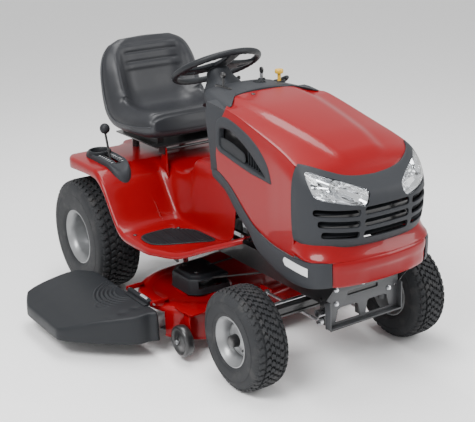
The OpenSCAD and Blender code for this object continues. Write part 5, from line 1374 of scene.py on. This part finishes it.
def build_deck():
    """Deck shell, brackets, pins, bolts, and the two belt covers."""
    loop = deck_outline(160)
    rows = []
    for d, z in ((-0.0, 62), (0.5, 66), (2, 69), (3, 74), (3, 120), (3.6, 150), (5, 166), (9, 176),
            (16, 182), (26, 184.6), (40, 185), (60, 185), (66, 183), (72, 180), (110, 179), (150, 178)):
        rows.append([Vector((p.x, p.y, z)) for p in inset(loop, d)])
    s = Shape().grid(rows, close_v=True)
    # the middle is closed by strips between the two rounded ends
    ring = rows[-1]
    n = len(ring)
    for k in range(n // 2):
        a, b, c, e = ring[k], ring[k + 1], ring[(n - k - 1) % n], ring[n - k
            - 2] if n - k - 2 >= 0 else ring[0]
        if k + 1 < n - k - 2:
            s.grid([[a, b], [c, e]])
    cut = Shape()
    cut.box((-530, -170, 50), (-380, 90, 163))
    s.make("deck_shell", RED, "deck", ["mower_deck"], thick=3, slot="red_paint", angle=42, cut=cut.cutter(),
        even=False)
    # raised spindle housings, brackets, pins and hinge ears
    b = Shape()
    for m in (RIGHT_MANDREL, LEFT_MANDREL):
        b.lathe((m.x, m.y, 178), (0, 0, 1), [(0, 118), (3, 112), (8, 104), (8.2, 60)], 72)
    for x, s1 in ((-454, 1), (520, -1)):
        b.box((x + s1 * 25 - 3, -310, 65), (x + s1 * 25 + 3, -270, 190))
        b.box((min(x + s1 * 22, x + s1 * 110), -310, 179), (max(x + s1 * 22, x + s1 * 110), -200, 185.5))
    for x in (-1, 1):
        b.box((x * 150 - 3, 172, 178), (x * 150 + 3, 208, 244))
        b.box((x * 83 - 3, -354, 165), (x * 83 + 3, -280, 219))
    for y in (-150, 50):
        b.box((-506, y, 190), (-427, y + 8, 208))
        b.box((-447, y, 178), (-427, y + 8, 200))
    b.make("deck_brackets", RED, "deck", bevel=1.2, slot="red_paint", angle=40)
    pins = Shape()
    for x in (-454, 520):
        pins.lathe((x - 30, -290, 85), (1, 0, 0), [(0, 0.001), (0, 9), (4, 9.5), (6, 8), (6, 6), (58, 6),
            (58, 9), (62, 8), (62, 0.001)], 24)
    for x in (-1, 1):
        pins.lathe((x * 145, 190, 230), (x, 0, 0), [(0, 9), (4, 9), (4, 6), (21, 6), (21, 8), (25, 8),
            (25, 0.001)], 20)
        pins.lathe((x * 78, -340, 205), (x, 0, 0), [(0, 9), (4, 9), (4, 6), (32, 6), (32, 8), (36, 8),
            (36, 0.001)], 20)
    pins.make("deck_pins", STEEL, "deck", slot="silver_steel", angle=40)
    bolts = Shape()
    for m in (RIGHT_MANDREL, LEFT_MANDREL):
        for k in range(6):
            a = math.radians(k * 60 + 15)
            bolts.lathe((m.x + 84 * math.cos(a), m.y + 84 * math.sin(a), 186), (0, 0, 1),
                [(0, 9), (1.5, 9), (1.6, 6.5), (6, 6.5), (7, 5), (7, 0.001)], 6)
    bolts.make("deck_bolts", STEEL, "deck", slot="silver_steel", angle=20)
    # belt covers: rounded tubs with stepped lids and a rib, open towards the engine
    for name, m, sgn in (("right", RIGHT_MANDREL, 1), ("left", LEFT_MANDREL, -1)):
        plan = [(-108, -66), (-98, -82), (-74, -102), (-50, -105), (30, -105), (58, -104), (67, -92),
            (67, 0), (67, 92), (58, 104), (0, 105), (-46, 104), (-66, 99), (-104, 66), (-109, 50),
            (-109, 0)]
        tub = even([(m.x + sgn * x, m.y + y, 0) for x, y in plan], 96, closed=True)
        c = Vector((m.x - sgn * 18, m.y, 0))
        rows = []
        for f, z in ((1.03, 186), (1.03, 188), (1.0, 189), (0.985, 236), (0.975, 243), (0.95, 248),
                (0.90, 250), (0.84, 251), (0.80, 255), (0.76, 260), (0.72, 261), (0.3, 261)):
            rows.append([c + (p - c) * f + Vector((0, 0, z)) for p in tub])
        s = Shape().grid(rows, close_v=True)
        s.cap(rows[-1])
        way = Shape().box((m.x - 78, m.y - 130, 210), (m.x + 78, m.y - 84, 242))
        s.make("belt_cover_" + name, DARK, "deck", ["belt_covers"] if sgn == 1 else [], thick=3,
            slot="dark_plastic", angle=40, cut=way.cutter())
        t = Shape()
        for dx, dy in ((-70, 60), (-70, -60), (40, 0)):
            t.lathe((m.x + sgn * dx * 0.8, m.y + dy * 0.8, 254), (0, 0, 1),
                [(0, 11), (4, 11), (6, 9), (9, 8.6), (10.5, 7), (10.8, 0.001)], 24)
        t.make("belt_cover_knobs_" + name, BLACK, "deck", slot="black_steel", angle=40)


CHUTE = [(-506, -196), (-545, -201), (-592, -197), (-640, -166), (-715, -98), (-786, -26), (-822, 24),
    (-829, 60), (-829, 190), (-829, 310), (-820, 352), (-792, 414), (-774, 424), (-700, 416), (-580, 402),
    (-558, 394), (-530, 352), (-511, 322), (-507, 240), (-506, 40)]


def build_chute():
    """Discharge chute with moulded rings and a plain boss, its hinge, pin and spring."""
    loop = even([(x, y, 0) for x, y in CHUTE], 200, closed=True)
    centre = Vector((-660, 110, 0))

    def top(x, y):
        z = catmull_value([(-832, 116), (-790, 134), (-750, 152), (-690, 170), (-620, 183), (-560, 188),
            (-500, 190)], x)
        # moulded rings around the hinge side, a round boss and a grip at the front edge
        d = math.hypot(x + 486, y - 40)
        z += 2.6 * math.sin((d - 66) / 17 * 2 * math.pi) * smooth(60, 72,
            d) * (1 - smooth(150, 166, d)) * smooth(-60, 30, y)
        e = math.hypot(x + 640, y - 6)
        z += 2.4 * math.exp(-((e - 27) / 4.5) ** 2) + 1.6 * math.exp(-((e - 10) / 6) ** 2)
        z -= 3.5 * math.exp(-(((y + 118) / 16) ** 2)) * smooth(-690, -660,
            x) * (0.5 + 0.5 * math.cos((x + 500) / 9))
        return z

    rows = []
    edge = [Vector((p.x, p.y, 0)) for p in loop]
    for d, drop in ((0.0, None), (0.0, 70), (0.0, 40), (0.4, 20), (1.5, 9), (4, 2.5), (7, 0.3)):
        ring = []
        for p in inset(edge, d):
            z = 74 if drop is None else max(74, top(p.x, p.y) - drop)
            ring.append(Vector((p.x, p.y, z)))
        rows.append(ring)
    last = rows[-1]
    for i in range(1, 44):
        f = 1 - i / 44
        ring = []
        for p in last:
            q = centre + (Vector((p.x, p.y, 0)) - centre) * f
            ring.append(Vector((q.x, q.y, top(q.x, q.y))))
        rows.append(ring)
    s = Shape().grid(rows, close_v=True)
    s.cap(rows[-1])
    s.make("chute_cover", DARK, "chute", ["discharge_chute"], thick=3, slot="dark_plastic", angle=50,
        even=False)
    # hinge sleeve with its spring
    h = Shape()
    h.box((-527, -130, 186), (-503, 38, 194))
    h.box((-511, -130, 189), (-497, 38, 206))
    h.tube([(-497, -130, 199), (-497, 38, 199)], 8, 24)
    h.make("chute_hinge", DARK, "chute", bevel=1, slot="dark_plastic", angle=40)
    Shape().tube([(-497, -160, 199), (-497, 68, 199)], 4, 16).make("chute_pin", STEEL, "chute",
        slot="silver_steel", angle=40)
    coil = [(-497 + 10.5 * math.cos(t * 0.5), -110 + t * 0.55, 199 + 10.5 * math.sin(t * 0.5))
        for t in range(0, 100)]
    Shape().tube(coil, 1.4, 8).make("chute_spring", STEEL, "chute", slot="silver_steel", angle=60)


def build_gauge_wheels():
    """The two gauge wheels."""
    for name, x, node in (("right", -454, "gauge_wheel_right"), ("left", 520, "gauge_wheel_left")):
        profile = [(-21, 6.1), (-21, 15), (-18, 17), (-14, 26), (-13, 40), (-15, 47), (-18, 51),
            (-18.5, 55), (-16, 59.5), (-10, 61.8), (0, 62), (10, 61.8), (16, 59.5), (18.5, 55), (18, 51),
            (15, 47), (13, 40), (14, 26), (18, 17), (21, 15), (21, 6.1)]
        Shape().lathe((x, -290, 85), (1, 0, 0), profile, 72).make("gauge_roller_" + name, BLACK,
            "gauge_" + name, [node], slot="dark_plastic", angle=50)


# ---------- front and levers ----------
def build_front():
    """Front accessory plate with its openings, flanges and bolts."""
    y1, y0 = FY - 202.3, FY - 208
    s = Shape()
    outline = [(-165, 395), (-165, 240), (-139, 240), (-133, 250), (-121, 262), (-112, 300), (-100, 306),
        (-30, 306), (-22, 300), (-14, 262), (-14, 240), (14, 240), (14, 262), (22, 300), (30, 306),
        (100, 306), (112, 300), (121, 262), (133, 250), (139, 240), (165, 240), (165, 395)]
    s.prism([(x, y0, z) for x, z in outline], (0, 0, 0), (0, y1 - y0, 0))
    cut = Shape()
    for x in (-151, 151):
        for z in (378, 330):
            cut.prism([(x + 5.5 * math.cos(math.radians(a)), y0 - 5, z + 5.5 * math.sin(math.radians(a)))
                for a in range(0, 360, 20)], (0, 0, 0), (0, 20, 0))
    cut.prism([(x, y0 - 5, z) for x, z in ((-70, 346), (-64, 344), (64, 344), (70, 346), (70, 358),
        (64, 360), (-64, 360), (-70, 358))], (0, 0, 0), (0, 20, 0))
    s.make("front_plate_skin", PLATE, "chassis", ["front_plate"], slot="gray_steel", bevel=1.0,
        cut=cut.cutter(), angle=35)
    s = Shape()
    s.box((160, y0 - 24, 240), (165, y0, 345), mirror=True)
    s.box((-165, y0 - 24, 240), (165, y0, 245))
    s.box((-165, y0 - 0.5, 240), (165, y1, 254))
    s.make("front_plate_flanges", PLATE, "chassis", slot="gray_steel", bevel=1.5, angle=35)
    bolts = Shape()
    for x, z in ((-120, 378), (120, 378), (-120, 325), (120, 325), (0, 378)):
        bolts.lathe((x, y0, z), (0, -1, 0), [(0, 9.5), (2, 9.5), (2.2, 7.4), (7, 7.4), (8, 6), (8, 0.001)],
            6)
    bolts.make("front_plate_bolts", STEEL, "chassis", slot="silver_steel", angle=20)


def build_levers():
    """Levers, knobs, the key and the pedals."""
    # lift lever: a bent flat bar with a thin curved grip
    path = catmull([(340, 330, 330), (340, 326, 520), (340, 321, 700), (340, 306, 770), (340, 262, 838),
        (340, 214, 872), (340, 150, 905), (340, 98, 932)], 60)
    s = Shape().tube(path[:46], 7, 16)
    s.tube([(-192, 330, 330), (344, 330, 330)], 8, 24)
    for x in (-180, 180):
        s.box((x - 12, 220, 322), (x - 6, 330, 338))
        s.tube([(x - 12, 220, 330), (x - 6, 220, 330)], 11, 24)
        s.tube([(x - 12, 220, 330), (x + 8, 220, 330)], 5, 16)
    s.make("lift_lever_bar", BLACK, "lift_lever", ["lift_lever"], slot="black_steel", angle=50)
    grip = path[42:]
    radii = [8 + 6 * math.sin(math.pi * min(1, (i + 1.5) / len(grip))) ** 0.5 for i in range(len(grip))]
    radii[0], radii[-1] = 7.5, 8
    Shape().tube(grip, radii, 24).make("lift_lever_grip", DARK, "lift_lever", slot="dark_plastic", angle=50)
    # shift lever with a ball knob and a rubber collar
    Shape().tube([(-354, 470, 575), (-306, 470, 575)], 6, 20).tube([(-330, 470, 575), (-330, 511, 728)],
        [6, 5], 20).make("shift_rod", BLACK, "shifter", ["shift_lever"], slot="black_steel", angle=50)
    up = Vector((0, 40, 155)).normalized()
    Shape().lathe((-330, 511, 742), up, [(-24, 7), (-21, 9), (-19, 14), (-13, 19), (-6, 21.6), (0, 22),
        (8, 20.6), (14, 17.2), (19, 11.4), (21.6, 5), (22, 0.001)], 40).make("shift_knob", DARK, "shifter",
        slot="dark_plastic", angle=60)
    # throttle, key and clutch knobs
    Shape().tube([(-112, -90, 940), (-88, -90, 940)], 5, 16).box((-102, -95, 940),
        (-98, -85, 1022)).make("throttle_blade", BLACK, "throttle", ["throttle_lever"], slot="black_steel",
        bevel=0.6, angle=40)
    Shape().lathe((-107, -90, 1028), (1, 0, 0), [(0, 0.001), (0, 9), (1.5, 11.4), (4, 12), (10, 12),
        (12.5, 11.4), (14, 9), (14, 0.001)], 32).make("throttle_knob", BLACK, "throttle",
        slot="dark_plastic", angle=50)
    s = Shape().lathe((100, -60, 980), (0, 0, 1), [(0, 7), (24, 7), (24.5, 5), (24.5, 0.001)], 24)
    s.make("key_barrel", STEEL, "key", ["ignition_key"], slot="silver_steel", angle=40)
    Shape().prism([(96.5, y, z) for y, z in ((-64, 1003), (-70, 1010), (-72, 1020), (-68, 1028),
        (-60, 1030), (-52, 1028), (-48, 1020), (-50, 1010), (-56, 1003))], (0, 0, 0),
        (7, 0, 0)).make("key_bow", BLACK, "key", slot="dark_plastic", bevel=1.5, angle=40)
    Shape().lathe((150, -110, 965), (0, 0, 1), [(0, 7), (38, 7), (38.5, 12), (40, 16), (43, 17), (53, 17),
        (56, 15), (57, 8), (57, 0.001)], 40).make("clutch_knob", YELLOW, "pto", ["pto_knob"],
        slot="knob_yellow", angle=45)
    # brake pedal: a dished ribbed pad on a bent arm
    s = Shape().tube([(140.3, -120, 338), (272, -120, 338)], 8, 20)
    s.tube(catmull([(262, -120, 338), (262, -160, 400), (262, -198, 470), (262, -214, 508)], 16), 7, 16)
    s.make("brake_arm", BLACK, "brake", ["brake_pedal"], slot="black_steel", angle=50)
    tilt = Matrix.Rotation(math.radians(62), 3, "X")
    base = Vector((262, -216, 518))
    rows = []
    for i in range(21):
        v = -34 + 68 * i / 20
        rows.append([base + tilt @ Vector((u, v, 5 + (1.4 if i % 3 == 1 else 0) + 3 * (abs(u) / 45) ** 4))
            for u in (-45, -42, -30, -10, 10, 30, 42, 45)])
    Shape().grid(rows).make("brake_pad", BELT, "brake", thick=7, slot="belt_rubber", bevel=1, angle=30)
    # parking brake: a thin bent rod with a small knob
    Shape().tube([(84, 88, 900), (107.6, 88, 900)], 5, 16).tube(catmull([(100, 88, 900), (100, 100, 918),
        (100, 112, 935), (103, 115, 947), (106, 116, 958)], 16), 4, 12).make("park_rod", BLACK,
        "park_brake", ["parking_brake"], slot="black_steel", angle=50)
    Shape().lathe((106, 116, 952), (0, 0, 1), [(0, 5), (2, 7.4), (8, 8), (13, 7), (15.6, 3), (16, 0.001)],
        24).make("park_knob", BLACK, "park_brake", slot="dark_plastic", angle=50)


def finish_cad_nodes():
    """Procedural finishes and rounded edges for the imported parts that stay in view."""
    finishes = {"frame_rails": BLACK, "hitch_plate": BLACK, "engine_block": CAST, "engine_shroud": DARK,
        "muffler": STEEL, "battery": DARK, "fuel_tank": TANK, "transaxle": CAST, "drive_belt": BELT,
        "hood_hinge": BLACK, "steering_shaft": STEEL, "sector_gear": CAST, "drag_link": STEEL,
        "tie_rod": STEEL, "front_axle": BLACK, "spindle_left": PLATE, "spindle_right": PLATE,
        "mandrels": CAST, "blade_left": BLADE, "blade_right": BLADE, "engine_pulley": BLADE,
        "mower_belt": BELT, "rear_arms": STEEL, "front_link": STEEL, "lift_links": STEEL, "seat_pan": BLACK}
    for name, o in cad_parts.items():
        if o.hide_render:
            continue
        o.data.materials.clear()
        o.data.materials.append(finishes.get(name, BLACK))
        if name not in ("drive_belt", "mower_belt"):
            m = o.modifiers.new("edges", "BEVEL")
            m.width, m.segments = 0.0012, 2
            m.limit_method, m.angle_limit = "ANGLE", math.radians(50)


# ---------- camera, light and floor ----------
PHOTO_AZ, PHOTO_EL, PHOTO_ROLL = math.radians(-32.668), math.radians(18.565), math.radians(-2.129)


def build_camera():
    """The camera at the photo's angle."""
    back = Vector((math.sin(PHOTO_AZ) * math.cos(PHOTO_EL), -math.cos(PHOTO_AZ) * math.cos(PHOTO_EL),
        math.sin(PHOTO_EL)))
    right = Vector((0, 0, 1)).cross(back).normalized()
    up = back.cross(right)
    c, s = math.cos(PHOTO_ROLL), math.sin(PHOTO_ROLL)
    r, u = right * c + up * s, up * c - right * s
    cam = bpy.data.objects.new("camera", bpy.data.cameras.new("camera"))
    bpy.context.scene.collection.objects.link(cam)
    cam.data.sensor_width, cam.data.lens = 36, 78.98
    cam.data.clip_start, cam.data.clip_end = 0.1, 60
    m = Matrix((r, u, back)).transposed().to_4x4()
    m.translation = place((-2209.05, -3446.82, 1806.76))
    cam.matrix_world = m
    bpy.context.scene.camera = cam


def soft_light(name, at, aim, size, watts, tint=(1, 1, 1)):
    """A rectangular area light."""
    lamp = bpy.data.lights.new(name, "AREA")
    lamp.shape, lamp.size, lamp.size_y, lamp.energy, lamp.color = "RECTANGLE", size[0], size[1], watts, tint
    o = bpy.data.objects.new(name, lamp)
    o.location = at
    o.rotation_euler = (Vector(aim) - Vector(at)).to_track_quat("-Z", "Y").to_euler()
    bpy.context.scene.collection.objects.link(o)


def build_studio():
    """Soft lights, a white world and a plain pale floor."""
    world = bpy.data.worlds.new("studio")
    world.use_nodes = True
    world.node_tree.nodes["Background"].inputs["Color"].default_value = (1, 1, 1, 1)
    world.node_tree.nodes["Background"].inputs["Strength"].default_value = 0.9
    bpy.context.scene.world = world
    soft_light("key", (-2.6, -1.2, 3.4), (0, 0, 0.4), (2.2, 1.4), 190)
    soft_light("fill", (2.8, -2.6, 2.2), (0, -0.2, 0.5), (2.0, 2.0), 80)
    soft_light("top", (0.2, 0.4, 4.0), (0.1, 0, 0.5), (1.2, 3.2), 120)
    bm = bmesh.new()
    bmesh.ops.create_grid(bm, x_segments=2, y_segments=2, size=14)
    mesh = bpy.data.meshes.new("floor")
    bm.to_mesh(mesh)
    bm.free()
    floor = bpy.data.objects.new("floor", mesh)
    floor.location.z = -0.0005
    bpy.context.scene.collection.objects.link(floor)
    floor.data.materials.append(finish_of("pale_floor", (0.97, 0.97, 0.97), 0.8, shade=0.01, bump=0.02,
        grain=200))


build_camera()
build_studio()
build_hood()
build_nose()
build_vents()
build_trims()
build_grille()
build_lamps()
build_fender()
build_foot_pads()
build_dash()
build_consoles()
build_seat()
build_steering_wheel()
build_wheels()
build_deck()
build_chute()
build_gauge_wheels()
build_front()
build_levers()
finish_cad_nodes()
for o in cutters:
    bpy.data.objects.remove(o)
